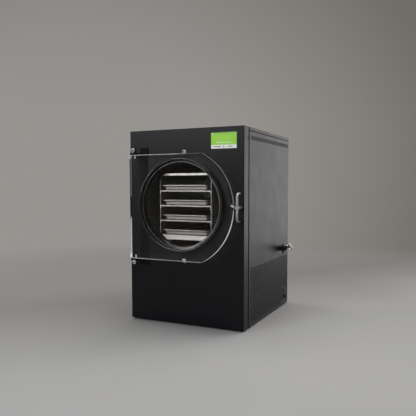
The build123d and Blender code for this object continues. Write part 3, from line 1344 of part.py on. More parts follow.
def power_inlet():
    """An appliance inlet and switch housing clipped into the right side."""
    face = HALF_WIDTH + INLET_RIM_PROUD
    behind = (HALF_WIDTH - INLET_DEPTH, HALF_WIDTH)
    body = block(behind, span(INLET_Y, INLET_WIDTH), span(INLET_Z, INLET_HEIGHT))
    rim_y = span(INLET_Y, INLET_WIDTH + 2 * INLET_RIM)
    body += block((HALF_WIDTH, face), rim_y, span(INLET_Z, INLET_HEIGHT + 2 * INLET_RIM))
    floor = face - SOCKET_DEPTH
    socket_z = INLET_Z - INLET_HEIGHT / 2 + INLET_EDGE + SOCKET_HEIGHT / 2
    body -= block((floor, face), span(INLET_Y, SOCKET_WIDTH), span(socket_z, SOCKET_HEIGHT))
    long, thick, high = CONTACT_SIZE
    for step in (-1, 0, 1):
        pin_z = socket_z + (CONTACT_STAGGER if step == 0 else -CONTACT_STAGGER)
        pin_y = INLET_Y + step * CONTACT_STEP
        body += block((floor, floor + long), span(pin_y, thick), span(pin_z, high))
    width = ROCKER_WIDTH + 2 * ROCKER_PLAY
    height = ROCKER_HEIGHT + 2 * ROCKER_PLAY
    body -= block((floor, face), span(INLET_Y, width), span(rocker_z(), height))
    return body + bar_y(HALF_WIDTH - ROCKER_AXLE_SET, span(INLET_Y, width), rocker_z(), ROCKER_AXLE)


def rocker_z():
    """The height of the rocker's axle, in the upper half of the housing."""
    return INLET_Z + INLET_HEIGHT / 2 - INLET_EDGE - ROCKER_HEIGHT / 2


def power_rocker():
    """The mains switch: a rocker with two sloping faces, tipped on at its lower end."""
    axle_x = HALF_WIDTH - ROCKER_AXLE_SET
    middle = ROCKER_AXLE_SET + INLET_RIM_PROUD
    half = ROCKER_HEIGHT / 2
    crest = middle + ROCKER_CREST
    points = [(-ROCKER_BODY, -half / 2), (middle, -half), (crest, -half + ROCKER_CREST), (middle, 0)]
    points += [(crest, half - ROCKER_CREST), (middle, half), (-ROCKER_BODY, half / 2)]
    rocker = prism_y(points, span(INLET_Y, ROCKER_WIDTH))
    rocker -= bar_y(0, span(INLET_Y, ROCKER_WIDTH), 0, ROCKER_AXLE + RUNNING)
    return Pos(axle_x, 0, rocker_z()) * Rot(0, ROCKER_TILT, 0) * rocker


# ---------------------------------------------------------------- output
def main():
    """Write every node of the freeze dryer."""
    os.makedirs("parts", exist_ok=True)
    pieces = [
        front_panel, front_frame, base_pan, left_side_panel, right_side_panel, rear_panel, top_cover,
        rubber_feet, front_screws, panel_screws, chamber_shell, chamber_mounting_ring, chamber_gasket,
        chamber_cradle, insulation_jacket, evaporator_coil, door_plate, door_dowels, hinge_bracket,
        hinge_leaves, hinge_pins, latch_handle, latch_finger, latch_bearing, display_bezel,
        display_screen, control_board, rack_top_cap, rack_bottom_pan, rack_runners, heater_mats,
        compressor, compressor_grommets, condenser_coil, fan_shroud, fan_motor, fan_blade,
        filter_drier, suction_tube, discharge_tube, liquid_tube, power_supply, power_inlet,
        power_rocker, vacuum_bulkhead, valve_body, valve_lever, outlet_ferrule, port_cap, vacuum_pipe,
        drain_line,
    ]
    for make in pieces:
        save(make.__name__, make())
    for name, side in (("left", -1), ("right", 1)):
        save(f"rack_side_{name}", rack_side(side))
    for level in range(1, TRAY_COUNT):
        save(f"rack_shelf_{level}", rack_shelf(level))
    for level in range(TRAY_COUNT):
        save(f"tray_{level + 1}", tray(level))


main()
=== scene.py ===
import json
import math

import bmesh
import bpy
from mathutils import Matrix, Vector
from mathutils.geometry import delaunay_2d_cdt


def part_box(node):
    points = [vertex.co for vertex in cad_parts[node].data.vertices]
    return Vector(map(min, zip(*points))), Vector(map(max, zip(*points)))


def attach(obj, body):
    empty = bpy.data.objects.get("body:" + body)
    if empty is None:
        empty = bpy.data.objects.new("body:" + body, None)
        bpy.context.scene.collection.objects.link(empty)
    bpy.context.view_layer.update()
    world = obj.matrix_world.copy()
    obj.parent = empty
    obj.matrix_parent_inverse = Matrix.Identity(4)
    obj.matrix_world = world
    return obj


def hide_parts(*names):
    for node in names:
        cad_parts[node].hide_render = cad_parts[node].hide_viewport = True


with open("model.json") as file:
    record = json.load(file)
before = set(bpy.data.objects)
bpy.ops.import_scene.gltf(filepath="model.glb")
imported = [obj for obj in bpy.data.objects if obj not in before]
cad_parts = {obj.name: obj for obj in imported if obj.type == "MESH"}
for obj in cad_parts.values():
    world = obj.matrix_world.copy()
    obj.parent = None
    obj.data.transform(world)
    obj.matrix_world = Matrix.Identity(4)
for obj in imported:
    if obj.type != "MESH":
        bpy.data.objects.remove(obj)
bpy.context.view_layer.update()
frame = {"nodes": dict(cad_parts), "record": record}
NODES = frame["nodes"]
MM = 0.001

# ---------------------------------------------------------------- sizes
SHEET = 1.5 * MM                # every folded panel
FLANGE = 14 * MM                # inward folds of the sides
SLIP = 0.2 * MM                 # room between a side's rear fold and the rear panel

HOLE = 3.9 * MM                 # radius of a hole in the large fields
HOLE_SIDES = 10
COLUMN_PITCH = 11.0 * MM
ROW_PITCH = 9.9 * MM
FIELD_FRONT = 10 * MM           # bare edges of the fields on the sides
FIELD_REAR = 8 * MM
FIELD_LEVELS = (13 * MM, 212 * MM)
REAR_LEVELS = (10 * MM, 208 * MM)
INLET_MARGIN = 7 * MM           # no holes this close to the mains inlet

VENT_HOLE = 2.25 * MM           # the narrow vent row under the lid
VENT_SIDES = 8
VENT_PITCH = 7.4 * MM
VENT_STEP = 3.73 * MM           # between its lines
VENT_LINES = 4
VENT_FRONT = 12 * MM
VENT_BELOW_TOP = 24.5 * MM

INLET_SEAT = 1.4 * MM           # how much of the inlet's rim rests on the panel
PORT_HOLE = 8.05 * MM
DRAIN_HOLE = 6.05 * MM
DRAIN_RISE = 9 * MM             # the hole's centre above the lowest point of the drain line
ROUND_SIDES = 32

DOOR_RADIUS = 216 * MM          # the door's round side
STRAIGHT_END = 84 * MM          # where its top and bottom edges meet the round side
CLEAR_REACH = 206 * MM          # cuts nearer the round side's centre than this stay clear


# ---------------------------------------------------------------- node helpers
def new_tree(name):
    """A material with its node tree and its Principled shader."""
    mat = bpy.data.materials.new(name)
    mat.use_nodes = True
    tree = mat.node_tree
    return mat, tree, tree.nodes["Principled BSDF"]


def node(tree, kind, links=None, **values):
    """Adds a node; links feed its inputs, values set its properties or inputs."""
    made = tree.nodes.new(kind)
    for key, value in values.items():
        if hasattr(made, key):
            setattr(made, key, value)
        else:
            made.inputs[key.replace("_", " ")].default_value = value
    for key, source in (links or {}).items():
        tree.links.new(source, made.inputs[key])
    return made


def coords(tree, stretch=(1, 1, 1)):
    """Object coordinates in metres, stretched along the axes."""
    where = node(tree, "ShaderNodeTexCoord").outputs["Object"]
    scaled = node(tree, "ShaderNodeMapping", {"Vector": where})
    scaled.inputs["Scale"].default_value = stretch
    return scaled.outputs["Vector"]


def axis(tree, letter, where=None):
    """One coordinate of a vector, which is the place on the object if none is given."""
    source = coords(tree) if where is None else where
    return node(tree, "ShaderNodeSeparateXYZ", {0: source}).outputs[letter]


def vector_maths(tree, kind, vector, constant, result):
    made = node(tree, "ShaderNodeVectorMath", {0: vector}, operation=kind)
    made.inputs[1].default_value = constant
    return made.outputs[result]


def from_axis(tree, where, x, z):
    """Distance from an axis that runs front to back through x and z."""
    flat = vector_maths(tree, "MULTIPLY", where, (1, 0, 1), "Vector")
    return vector_maths(tree, "DISTANCE", flat, (x, 0, z), "Value")


def maths(tree, kind, a, b=0.0):
    made = node(tree, "ShaderNodeMath", operation=kind)
    for socket, value in ((made.inputs[0], a), (made.inputs[1], b)):
        if isinstance(value, float):
            socket.default_value = value
        else:
            tree.links.new(value, socket)
    return made.outputs[0]


def noise(tree, where, scale, detail=4.0, rough=0.55):
    return node(tree, "ShaderNodeTexNoise", {"Vector": where}, Scale=scale, Detail=detail,
                Roughness=rough).outputs["Fac"]


def spread(tree, value, low, high, start=0.3, end=0.7):
    """Maps start..end of a value onto low..high; the ends fit a noise."""
    made = node(tree, "ShaderNodeMapRange", {"Value": value})
    for key, number in (("From Min", start), ("From Max", end), ("To Min", low), ("To Max", high)):
        made.inputs[key].default_value = number
    return made.outputs["Result"]


def step(tree, value, edge, soft):
    """0 below the edge and 1 above it, with a soft ramp; a negative width turns it round."""
    low, high = (0, 1) if soft > 0 else (1, 0)
    return spread(tree, value, low, high, edge - abs(soft) / 2, edge + abs(soft) / 2)


def band(tree, value, low, high):
    """1 between two levels, each given with the width of its soft ramp."""
    return maths(tree, "MULTIPLY", step(tree, value, *low), step(tree, value, high[0], -high[1]))


def blend_colour(tree, fac, a, b):
    made = node(tree, "ShaderNodeMix", {0: fac}, data_type="RGBA")
    for socket, value in ((made.inputs[6], a), (made.inputs[7], b)):
        if isinstance(value, tuple):
            socket.default_value = (*value, 1)
        else:
            tree.links.new(value, socket)
    return made.outputs[2]


def add_bump(tree, shader, height, strength, depth):
    made = node(tree, "ShaderNodeBump", {"Height": height}, Strength=strength, Distance=depth)
    tree.links.new(made.outputs["Normal"], shader.inputs["Normal"])


def surface(name, dark, light, rough, scale=40.0, bump=(900.0, 0.1, 0.0002), stretch=(1, 1, 1),
            fine_stretch=(1, 1, 1), metallic=0.0, specular=0.5):
    """
    A procedural finish: colour and roughness vary softly and a fine bump gives its grain.
    The bump is given by its scale, its strength and its depth in metres.
    """
    mat, tree, shader = new_tree(name)
    broad = noise(tree, coords(tree, stretch), scale)
    tree.links.new(blend_colour(tree, spread(tree, broad, 0, 1), dark, light), shader.inputs["Base Color"])
    fine = noise(tree, coords(tree, fine_stretch), bump[0], 3.0)
    tree.links.new(spread(tree, maths(tree, "ADD", broad, fine), *rough, 0.6, 1.4),
                   shader.inputs["Roughness"])
    add_bump(tree, shader, fine, bump[1], bump[2])
    shader.inputs["Metallic"].default_value = metallic
    shader.inputs["Specular IOR Level"].default_value = specular
    return mat


def tint(mat, fac, colour):
    """Turns a finish towards another colour where fac is 1."""
    tree = mat.node_tree
    socket = tree.nodes["Principled BSDF"].inputs["Base Color"]
    tree.links.new(blend_colour(tree, fac, socket.links[0].from_socket, colour), socket)


def deaden(mat, fac, colour):
    """Covers a finish with a matt colour where fac is 1."""
    tree = mat.node_tree
    matt = node(tree, "ShaderNodeBsdfDiffuse")
    matt.inputs["Color"].default_value = (*colour, 1)
    glossy = tree.nodes["Principled BSDF"]
    mix = node(tree, "ShaderNodeMixShader", {0: fac, 1: glossy.outputs[0], 2: matt.outputs[0]})
    tree.links.new(mix.outputs[0], tree.nodes["Material Output"].inputs["Surface"])


# ---------------------------------------------------------------- materials
COAT = {"dark": (0.0010, 0.0014, 0.0032), "light": (0.0022, 0.0026, 0.0052), "rough": (0.32, 0.40),
        "scale": 14.0, "bump": (1500.0, 0.12, 0.0002), "specular": 0.27}
# Painted shade for the gaps behind the front panel's fold and under the lid's lip.
GAP_SHADE = (0.006, 0.006, 0.007)


def panel_finish():
    """The front panel's semi-gloss coat, with painted shade along the back edge of its fold."""
    mat = surface("panel_coat", **COAT)
    tree = mat.node_tree
    fold_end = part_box("front_panel")[1].y
    # Painted shade: matt near-black where the fold meets the side, in the gap's shade.
    deaden(mat, step(tree, axis(tree, "Y"), fold_end - 3.2 * MM, 0.8 * MM), GAP_SHADE)
    return mat


def side_finish():
    """The sides' coat, a greyer copy of the black coat as painted light from the right, with painted shade
    under the lid's lip.
    """
    # Greyer than the front's coat: painted light, as the sides are lit from the right.
    mat = surface("side_coat", (0.010, 0.0095, 0.0107), (0.018, 0.0171, 0.0188), (0.38, 0.50), 14.0,
                  (1500.0, 0.15, 0.0002))
    tree = mat.node_tree
    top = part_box("right_side_panel")[1].z
    # Painted shade in the gap under the lid's lip.
    deaden(mat, step(tree, axis(tree, "Z"), top - 2.6 * MM, 0.5 * MM), GAP_SHADE)
    return mat


def finger_steel():
    """The latch finger: a painted highlight where it crosses the door's edge, duller steel elsewhere."""
    mat = surface("finger_steel", (0.10, 0.10, 0.10), (0.16, 0.16, 0.155), (0.25, 0.35), 200.0,
                  (1800.0, 0.1, 0.0001), metallic=0.6)
    tree = mat.node_tree
    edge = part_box("door_plate")[1].x
    tip = (edge - 8.5 * MM, 3 * MM)
    end = (edge + 2.5 * MM, 2 * MM)
    # Painted highlight: near-white across the door's edge.
    tint(mat, band(tree, axis(tree, "X"), tip, end), (0.92, 0.91, 0.89))
    return mat


def head_steel():
    """Bright screw heads whose hexagon sockets are painted dark as shade."""
    mat = surface("head_steel", (0.74, 0.73, 0.71), (0.95, 0.94, 0.92), (0.22, 0.34), 300.0,
                  (2500.0, 0.08, 0.0001), metallic=0.3)
    tree = mat.node_tree
    low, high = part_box("front_screws")
    middle = (low + high) / 2
    heads = {}
    for vert in NODES["front_screws"].data.vertices:
        heads.setdefault((vert.co.x > middle.x, vert.co.z > middle.z), []).append(vert.co)
    where = coords(tree)
    nearest = None
    for _, points in sorted(heads.items()):
        x = (min(p.x for p in points) + max(p.x for p in points)) / 2
        z = (min(p.z for p in points) + max(p.z for p in points)) / 2
        reach = from_axis(tree, where, x, z)
        nearest = reach if nearest is None else maths(tree, "MINIMUM", nearest, reach)
    # Painted shade: a matt near-black disc over each socket.
    deaden(mat, step(tree, nearest, 3.2 * MM, -0.8 * MM), (0.008, 0.008, 0.008))
    return mat


def handle_steel():
    """The latch handle: satin steel with painted shade that darkens it towards its lower end."""
    mat = surface("handle_steel", (0.62, 0.595, 0.57), (0.84, 0.81, 0.78), (0.24, 0.34), 160.0,
                  (1800.0, 0.12, 0.0001), fine_stretch=(1, 1, 0.08), metallic=0.7)
    tree = mat.node_tree
    low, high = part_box("latch_handle")
    full = low.z + 0.3 * (high.z - low.z)
    # Painted shade on the lower part of the handle.
    tint(mat, spread(tree, axis(tree, "Z"), 0.88, 0.0, low.z, full), (0.06, 0.06, 0.06))
    return mat


def seal_rubber():
    """The seal's gloss black rubber; its inner lip is covered matt except at the lower right, a painted shade
    that keeps its highlight only there.
    """
    mat = surface("seal_rubber", (0.003, 0.003, 0.003), (0.006, 0.006, 0.0065), (0.10, 0.16), 50.0,
                  (700.0, 0.02, 0.0001), specular=0.85)
    tree = mat.node_tree
    where = coords(tree)
    low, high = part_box("chamber_gasket")
    x, z = (low.x + high.x) / 2, (low.z + high.z) / 2
    lip = (high.x - low.x) / 2 - 5.5 * MM
    inner = step(tree, from_axis(tree, where, x, z), lip, -1 * MM)
    slant = maths(tree, "SUBTRACT", axis(tree, "X", where), axis(tree, "Z", where))
    away = spread(tree, slant, 0.85, 0, x - z + 20 * MM, x - z + 90 * MM)
    # Painted shade: the lip away from the lower right shows no highlight.
    deaden(mat, maths(tree, "MULTIPLY", inner, away), (0.007, 0.007, 0.008))
    return mat


def tray_steel():
    """Pressed steel with painted shade under the rolled rim and at the foot, and a painted highlight across
    the belly.
    """
    mat = surface("tray_steel", (0.38, 0.362, 0.340), (0.60, 0.575, 0.545), (0.30, 0.44), 60.0,
                  (700.0, 0.15, 0.0002), stretch=(0.6, 1, 2.5), fine_stretch=(0.08, 1, 1), metallic=0.9)
    tree = mat.node_tree
    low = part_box("tray_1")[0].z
    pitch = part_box("tray_2")[0].z - low
    above = maths(tree, "SUBTRACT", axis(tree, "Z"), low - 0.1 * MM)
    level = maths(tree, "MODULO", above, pitch)
    foot = step(tree, level, 3.4 * MM, -1.6 * MM)
    under_rim = band(tree, level, (13.4 * MM, 0.8 * MM), (16.0 * MM, 0.4 * MM))
    belly_highlight = band(tree, level, (6.5 * MM, 3 * MM), (11.0 * MM, 3 * MM))
    # Painted highlight: a paler band across each tray's belly.
    tint(mat, maths(tree, "MULTIPLY", belly_highlight, 0.7), (0.86, 0.83, 0.79))
    # Painted shade: near-black under the rim and at the foot.
    tint(mat, maths(tree, "MULTIPLY", maths(tree, "MAXIMUM", foot, under_rim), 0.88), (0.01, 0.01, 0.01))
    return mat


def side_plate():
    """The rack's thin side plates, with painted shade where they turn inwards."""
    mat = surface("side_plate", (0.55, 0.54, 0.52), (0.75, 0.74, 0.72), (0.30, 0.42), 50.0,
                  (800.0, 0.12, 0.0002), fine_stretch=(0.05, 1, 1), metallic=0.9)
    tree = mat.node_tree
    low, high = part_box("rack_side_left")
    rise = axis(tree, "Z")
    top = step(tree, rise, high.z - 14 * MM, 6 * MM)
    bottom = step(tree, rise, low.z + 6 * MM, -4 * MM)
    # Painted shade on the turned-in top and bottom.
    tint(mat, maths(tree, "MULTIPLY", maths(tree, "MAXIMUM", top, bottom), 0.85), (0.03, 0.03, 0.03))
    return mat


def screen_lit():
    """The lit green of the touch screen, a little deeper in its top band."""
    mat, tree, shader = new_tree("screen_green")
    where = coords(tree)
    cloud = noise(tree, where, 25.0)
    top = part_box("display_screen")[1].z
    plain = blend_colour(tree, spread(tree, cloud, 0, 1), (0.225, 0.47, 0.048), (0.252, 0.50, 0.058))
    deeper = step(tree, axis(tree, "Z", where), top - 7.5 * MM, 2 * MM)
    colour = blend_colour(tree, deeper, plain, (0.20, 0.44, 0.065))
    tree.links.new(colour, shader.inputs["Base Color"])
    tree.links.new(colour, shader.inputs["Emission Color"])
    shader.inputs["Emission Strength"].default_value = 0.6
    shader.inputs["Specular IOR Level"].default_value = 0.2
    tree.links.new(spread(tree, cloud, 0.18, 0.28), shader.inputs["Roughness"])
    return mat


def door_edges(tree, where, side):
    """1 where the door's edges carry a painted highlight: the rear of its round side and its straight
    corners.
    """
    low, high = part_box("door_plate")
    x, y, z = (axis(tree, letter, where) for letter in "XYZ")
    # The painted highlight on the rear band of the round side gets narrower and dimmer with height.
    width = spread(tree, z, 12 * MM, 7 * MM, 0.37, 0.46)
    rear = step(tree, maths(tree, "ADD", y, width), high.y, 1.2 * MM)
    rear = maths(tree, "MULTIPLY", rear, spread(tree, z, 1.0, 0.7, 0.40, 0.47))
    reach = from_axis(tree, where, high.x - DOOR_RADIUS, (low.z + high.z) / 2)
    rear = maths(tree, "MULTIPLY", rear, step(tree, reach, CLEAR_REACH, 2 * MM))
    round_edge = maths(tree, "MULTIPLY", side, rear)
    # Thin painted highlight lines along the front of the top, bottom and hinge side, up to where the curve
    # starts.
    top = step(tree, z, high.z - 2.1 * MM, 0.8 * MM)
    top = maths(tree, "MULTIPLY", top, spread(tree, x, 1.0, 0.15, -0.02, 0.03))
    bottom = step(tree, z, low.z + 2.1 * MM, -0.8 * MM)
    left = maths(tree, "MULTIPLY", step(tree, x, low.x + 2.6 * MM, -0.9 * MM),
                 spread(tree, z, 1.0, 0.5, 0.30, 0.60))
    straight = maths(tree, "MAXIMUM", maths(tree, "MAXIMUM", top, bottom), left)
    straight = maths(tree, "MULTIPLY", straight, step(tree, y, low.y + 1.2 * MM, -0.4 * MM))
    straight = maths(tree, "MULTIPLY", straight, step(tree, x, STRAIGHT_END, -2 * MM))
    return maths(tree, "MAXIMUM", round_edge, straight)


def acrylic():
    """Clear plate: polished faces, painted highlights and a painted glow on its edges, and lamps shine
    through it.
    """
    mat, tree, shader = new_tree("clear_acrylic")
    shader.inputs["Base Color"].default_value = (0.98, 0.98, 0.98, 1)
    shader.inputs["Transmission Weight"].default_value = 1.0
    shader.inputs["IOR"].default_value = 1.25
    where = coords(tree)
    tree.links.new(spread(tree, noise(tree, where, 30.0), 0.0, 0.03), shader.inputs["Roughness"])

    grain = noise(tree, coords(tree, (1, 8, 1)), 120.0)
    normal = node(tree, "ShaderNodeTexCoord").outputs["Normal"]
    side = step(tree, maths(tree, "ABSOLUTE", axis(tree, "Y", normal)), 0.4, -0.1)
    # The edges' painted highlight: a pale shader with a painted glow, stronger lower down.
    edge_glint = node(tree, "ShaderNodeBsdfPrincipled", Roughness=0.3)
    tree.links.new(blend_colour(tree, spread(tree, grain, 0, 1), (0.62, 0.62, 0.60), (0.90, 0.90, 0.88)),
                   edge_glint.inputs["Base Color"])
    edge_glint.inputs["Specular IOR Level"].default_value = 0.8
    edge_glow = maths(tree, "MULTIPLY", spread(tree, axis(tree, "Z", where), 1.0, 0.38, 0.36, 0.46), side)
    tree.links.new(blend_colour(tree, edge_glow, (0, 0, 0), (0.46, 0.45, 0.43)), edge_glint.inputs["Emission Color"])
    edge_glint.inputs["Emission Strength"].default_value = 1.0

    edge = maths(tree, "MULTIPLY", door_edges(tree, where, side), spread(tree, grain, 0.7, 1.0))
    edge_mix = node(tree, "ShaderNodeMixShader", {0: edge, 1: shader.outputs[0], 2: edge_glint.outputs[0]})
    shadow = node(tree, "ShaderNodeLightPath").outputs["Is Shadow Ray"]
    clear = node(tree, "ShaderNodeBsdfTransparent")
    clear.inputs["Color"].default_value = (0.93, 0.94, 0.94, 1)
    out = node(tree, "ShaderNodeMixShader", {0: shadow, 1: edge_mix.outputs[0], 2: clear.outputs[0]})
    tree.links.new(out.outputs[0], tree.nodes["Material Output"].inputs["Surface"])
    return mat


MATERIALS = {
    "black_coat": surface("black_coat", **COAT),
    "panel_coat": panel_finish(),
    "side_coat": side_finish(),
    "frame_coat": surface("frame_coat", (0.004, 0.004, 0.0045), (0.008, 0.008, 0.008), (0.5, 0.65), 60.0),
    "bracket_coat": surface("bracket_coat", (0.0016, 0.0016, 0.0018), (0.0030, 0.0030, 0.0034),
                            (0.45, 0.6), 60.0, specular=0.12),
    "seam_dark": surface("seam_dark", (0.0014, 0.0014, 0.0016), (0.0028, 0.0028, 0.0030), (0.55, 0.7),
                         60.0, specular=0.1),
    "bezel_black": surface("bezel_black", (0.003, 0.003, 0.003), (0.005, 0.005, 0.005), (0.16, 0.24), 60.0),
    "screen_green": screen_lit(),
    "clear_acrylic": acrylic(),
    "black_rubber": surface("black_rubber", (0.003, 0.003, 0.003), (0.006, 0.006, 0.0065), (0.10, 0.16),
                            50.0, (700.0, 0.02, 0.0001), specular=0.32),
    "seal_rubber": seal_rubber(),
    "foot_rubber": surface("foot_rubber", (0.006, 0.006, 0.006), (0.016, 0.016, 0.016), (0.6, 0.8), 90.0),
    "black_plastic": surface("black_plastic", (0.008, 0.008, 0.009), (0.016, 0.016, 0.017), (0.42, 0.55),
                             120.0, (2200.0, 0.15, 0.0001)),
    "black_fitting": surface("black_fitting", (0.006, 0.006, 0.006), (0.014, 0.014, 0.014), (0.28, 0.42),
                             150.0, (1500.0, 0.12, 0.0001)),
    "pot_black": surface("pot_black", (0.010, 0.010, 0.011), (0.022, 0.022, 0.024), (0.3, 0.45), 40.0),
    "handle_steel": handle_steel(),
    "finger_steel": finger_steel(),
    "head_steel": head_steel(),
    # The door's dowels: near-white and barely metallic, partly steel and partly painted glints.
    "dowel_steel": surface("dowel_steel", (0.84, 0.83, 0.81), (0.97, 0.96, 0.94), (0.26, 0.38), 300.0,
                           (2500.0, 0.08, 0.0001), metallic=0.1),
    "bright_steel": surface("bright_steel", (0.60, 0.59, 0.57), (0.80, 0.79, 0.77), (0.12, 0.24), 300.0,
                            (2500.0, 0.08, 0.0001), metallic=1.0),
    "cap_steel": surface("cap_steel", (0.34, 0.34, 0.335), (0.50, 0.50, 0.49), (0.38, 0.50), 300.0,
                         (2500.0, 0.08, 0.0001), metallic=0.55),
    "stainless": surface("stainless", (0.42, 0.41, 0.40), (0.60, 0.59, 0.57), (0.28, 0.42), 60.0,
                         (700.0, 0.15, 0.0002), fine_stretch=(1, 0.05, 1), metallic=1.0),
    "zinc_steel": surface("zinc_steel", (0.38, 0.39, 0.40), (0.56, 0.57, 0.58), (0.35, 0.55), 70.0,
                          (500.0, 0.1, 0.0002), metallic=1.0),
    "shelf_aluminium": surface("shelf_aluminium", (0.62, 0.61, 0.59), (0.82, 0.81, 0.79), (0.28, 0.40),
                               50.0, (800.0, 0.12, 0.0002), fine_stretch=(0.05, 1, 1), metallic=1.0),
    # The bottom pan: a paler, less metallic copy of the shelf finish, partly its own sheet and partly painted
    # light.
    "pan_sheet": surface("pan_sheet", (0.80, 0.77, 0.73), (0.97, 0.945, 0.91), (0.30, 0.42), 90.0,
                         (800.0, 0.12, 0.0002), stretch=(1, 1, 3), fine_stretch=(0.05, 1, 1),
                         metallic=0.35),
    "side_plate": side_plate(),
    "tray_steel": tray_steel(),
    "copper": surface("copper", (0.52, 0.26, 0.15), (0.72, 0.40, 0.26), (0.22, 0.42), 70.0, metallic=1.0),
    "board_green": surface("board_green", (0.02, 0.10, 0.04), (0.04, 0.17, 0.08), (0.4, 0.6), 200.0),
    "foam": surface("foam", (0.02, 0.02, 0.022), (0.045, 0.045, 0.05), (0.8, 0.95), 160.0,
                    (700.0, 0.5, 0.0008)),
    "silicone": surface("silicone", (0.33, 0.10, 0.03), (0.48, 0.16, 0.06), (0.5, 0.65), 80.0),
}

# Nodes whose finish differs from that of their slot.
SPECIAL = {
    "front_panel": "panel_coat",
    "front_frame": "seam_dark",
    "hinge_bracket": "bracket_coat",
    "hinge_leaves": "bracket_coat",
    "front_screws": "head_steel",
    "door_dowels": "dowel_steel",
    "latch_finger": "finger_steel",
    "latch_handle": "handle_steel",
    "port_cap": "cap_steel",
    "rack_bottom_pan": "pan_sheet",
    "rack_side_left": "side_plate",
    "rack_side_right": "side_plate",
    **{f"tray_{level}": "tray_steel" for level in range(1, 5)},
}


def dress_nodes():
    """Every CAD node gets the material of its slot, or its own."""
    for part in frame["record"]["subparts"]:
        obj = NODES[part["node"]]
        mat = MATERIALS[SPECIAL.get(part["node"], part["material_slot"])]
        if not obj.material_slots:
            obj.data.materials.append(mat)
        for held in obj.material_slots:
            held.material = mat


# ---------------------------------------------------------------- mesh helpers
def piece(name, bm, material, smooth=False):
    """Turns a bmesh into a piece that rides on the cabinet."""
    bmesh.ops.recalc_face_normals(bm, faces=bm.faces)
    mesh = bpy.data.meshes.new(name)
    bm.to_mesh(mesh)
    bm.free()
    obj = bpy.data.objects.new(name, mesh)
    bpy.context.scene.collection.objects.link(obj)
    mesh.materials.append(material)
    if smooth:
        mesh.shade_smooth()
    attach(obj, "cabinet")
    return obj


def add_block(bm, x, y, z):
    made = bmesh.ops.create_cube(bm, size=1.0)["verts"]
    size = [b - a for a, b in (x, y, z)]
    middle = Vector([(a + b) / 2 for a, b in (x, y, z)])
    for v in made:
        v.co = Vector([v.co[i] * size[i] for i in range(3)]) + middle


def ring_points(centre, radius, count):
    angles = [2 * math.pi * i / count for i in range(count)]
    return [(centre[0] + radius * math.cos(a), centre[1] + radius * math.sin(a)) for a in angles]


def rect_points(a, b):
    return [(a[0], a[1]), (b[0], a[1]), (b[0], b[1]), (a[0], b[1])]


def pierced_sheet(bm, outline, holes, to_world, thickness):
    """A flat sheet with holes: to_world(u, v, depth) places its points."""
    verts, faces = [], []
    for loop in [outline, *holes]:
        faces.append(list(range(len(verts), len(verts) + len(loop))))
        verts.extend(Vector(p) for p in loop)
    points, _, tris, _, _, face_from = delaunay_2d_cdt(verts, [], faces, 1, 1e-7)
    front = [bm.verts.new(to_world(p.x, p.y, 0)) for p in points]
    back = [bm.verts.new(to_world(p.x, p.y, thickness)) for p in points]
    edges = {}
    for tri, origin in zip(tris, face_from):
        if origin != [0]:
            continue
        bm.faces.new([front[i] for i in tri])
        bm.faces.new([back[i] for i in reversed(tri)])
        for i in range(3):
            pair = (tri[i], tri[(i + 1) % 3])
            if (pair[1], pair[0]) in edges:
                del edges[(pair[1], pair[0])]
            else:
                edges[pair] = True
    for a, b in edges:
        bm.faces.new([front[b], front[a], back[a], back[b]])
    for v in [v for v in bm.verts if not v.link_faces]:
        bm.verts.remove(v)


# ---------------------------------------------------------------- perforated panels
def anywhere(u, v):
    return True


def off_inlet(u, v):
    """Whether a place on the right side is clear of the mains inlet."""
    low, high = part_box("power_inlet")
    near_u = low.y - INLET_MARGIN < u < high.y + INLET_MARGIN
    near_v = low.z - INLET_MARGIN < v < high.z + INLET_MARGIN
    return not (near_u and near_v)


def field_holes(u, v, keep):
    """Centres of a staggered field of holes between u and v limits, where keep says so."""
    columns = int((u[1] - u[0]) / COLUMN_PITCH)
    rows = int((v[1] - v[0]) / ROW_PITCH)
    start = (u[0] + u[1] - columns * COLUMN_PITCH) / 2
    low = (v[0] + v[1] - rows * ROW_PITCH) / 2
    found = []
    for i in range(columns + 1):
        for j in range(rows + (i % 2 == 0)):
            at = (start + i * COLUMN_PITCH, low + (j + (i % 2) / 2) * ROW_PITCH)
            if keep(*at):
                found.append(at)
    return found


def vent_holes(u, middle):
    """Centres of the close, staggered lines of the vent row under the lid."""
    count = int((u[1] - u[0]) / VENT_PITCH)
    start = (u[0] + u[1] - count * VENT_PITCH) / 2
    found = []
    for line in range(VENT_LINES):
        shift = (line % 2) / 2
        level = middle + (line - (VENT_LINES - 1) / 2) * VENT_STEP
        found += [(start + (i + shift) * VENT_PITCH, level) for i in range(count + (line % 2 == 0))]
    return found


def right_openings():
    """The mains inlet's cut-out and the vacuum port's hole, as outlines in y and z."""
    low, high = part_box("power_inlet")
    inlet = rect_points((low.y + INLET_SEAT, low.z + INLET_SEAT), (high.y - INLET_SEAT, high.z - INLET_SEAT))
    low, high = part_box("vacuum_bulkhead")
    port = ((low.y + high.y) / 2, (low.z + high.z) / 2)
    return [inlet, ring_points(port, PORT_HOLE, ROUND_SIDES)]


def left_openings():
    """The drain's hole."""
    low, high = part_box("drain_line")
    return [ring_points(((low.y + high.y) / 2, low.z + DRAIN_RISE), DRAIN_HOLE, ROUND_SIDES)]


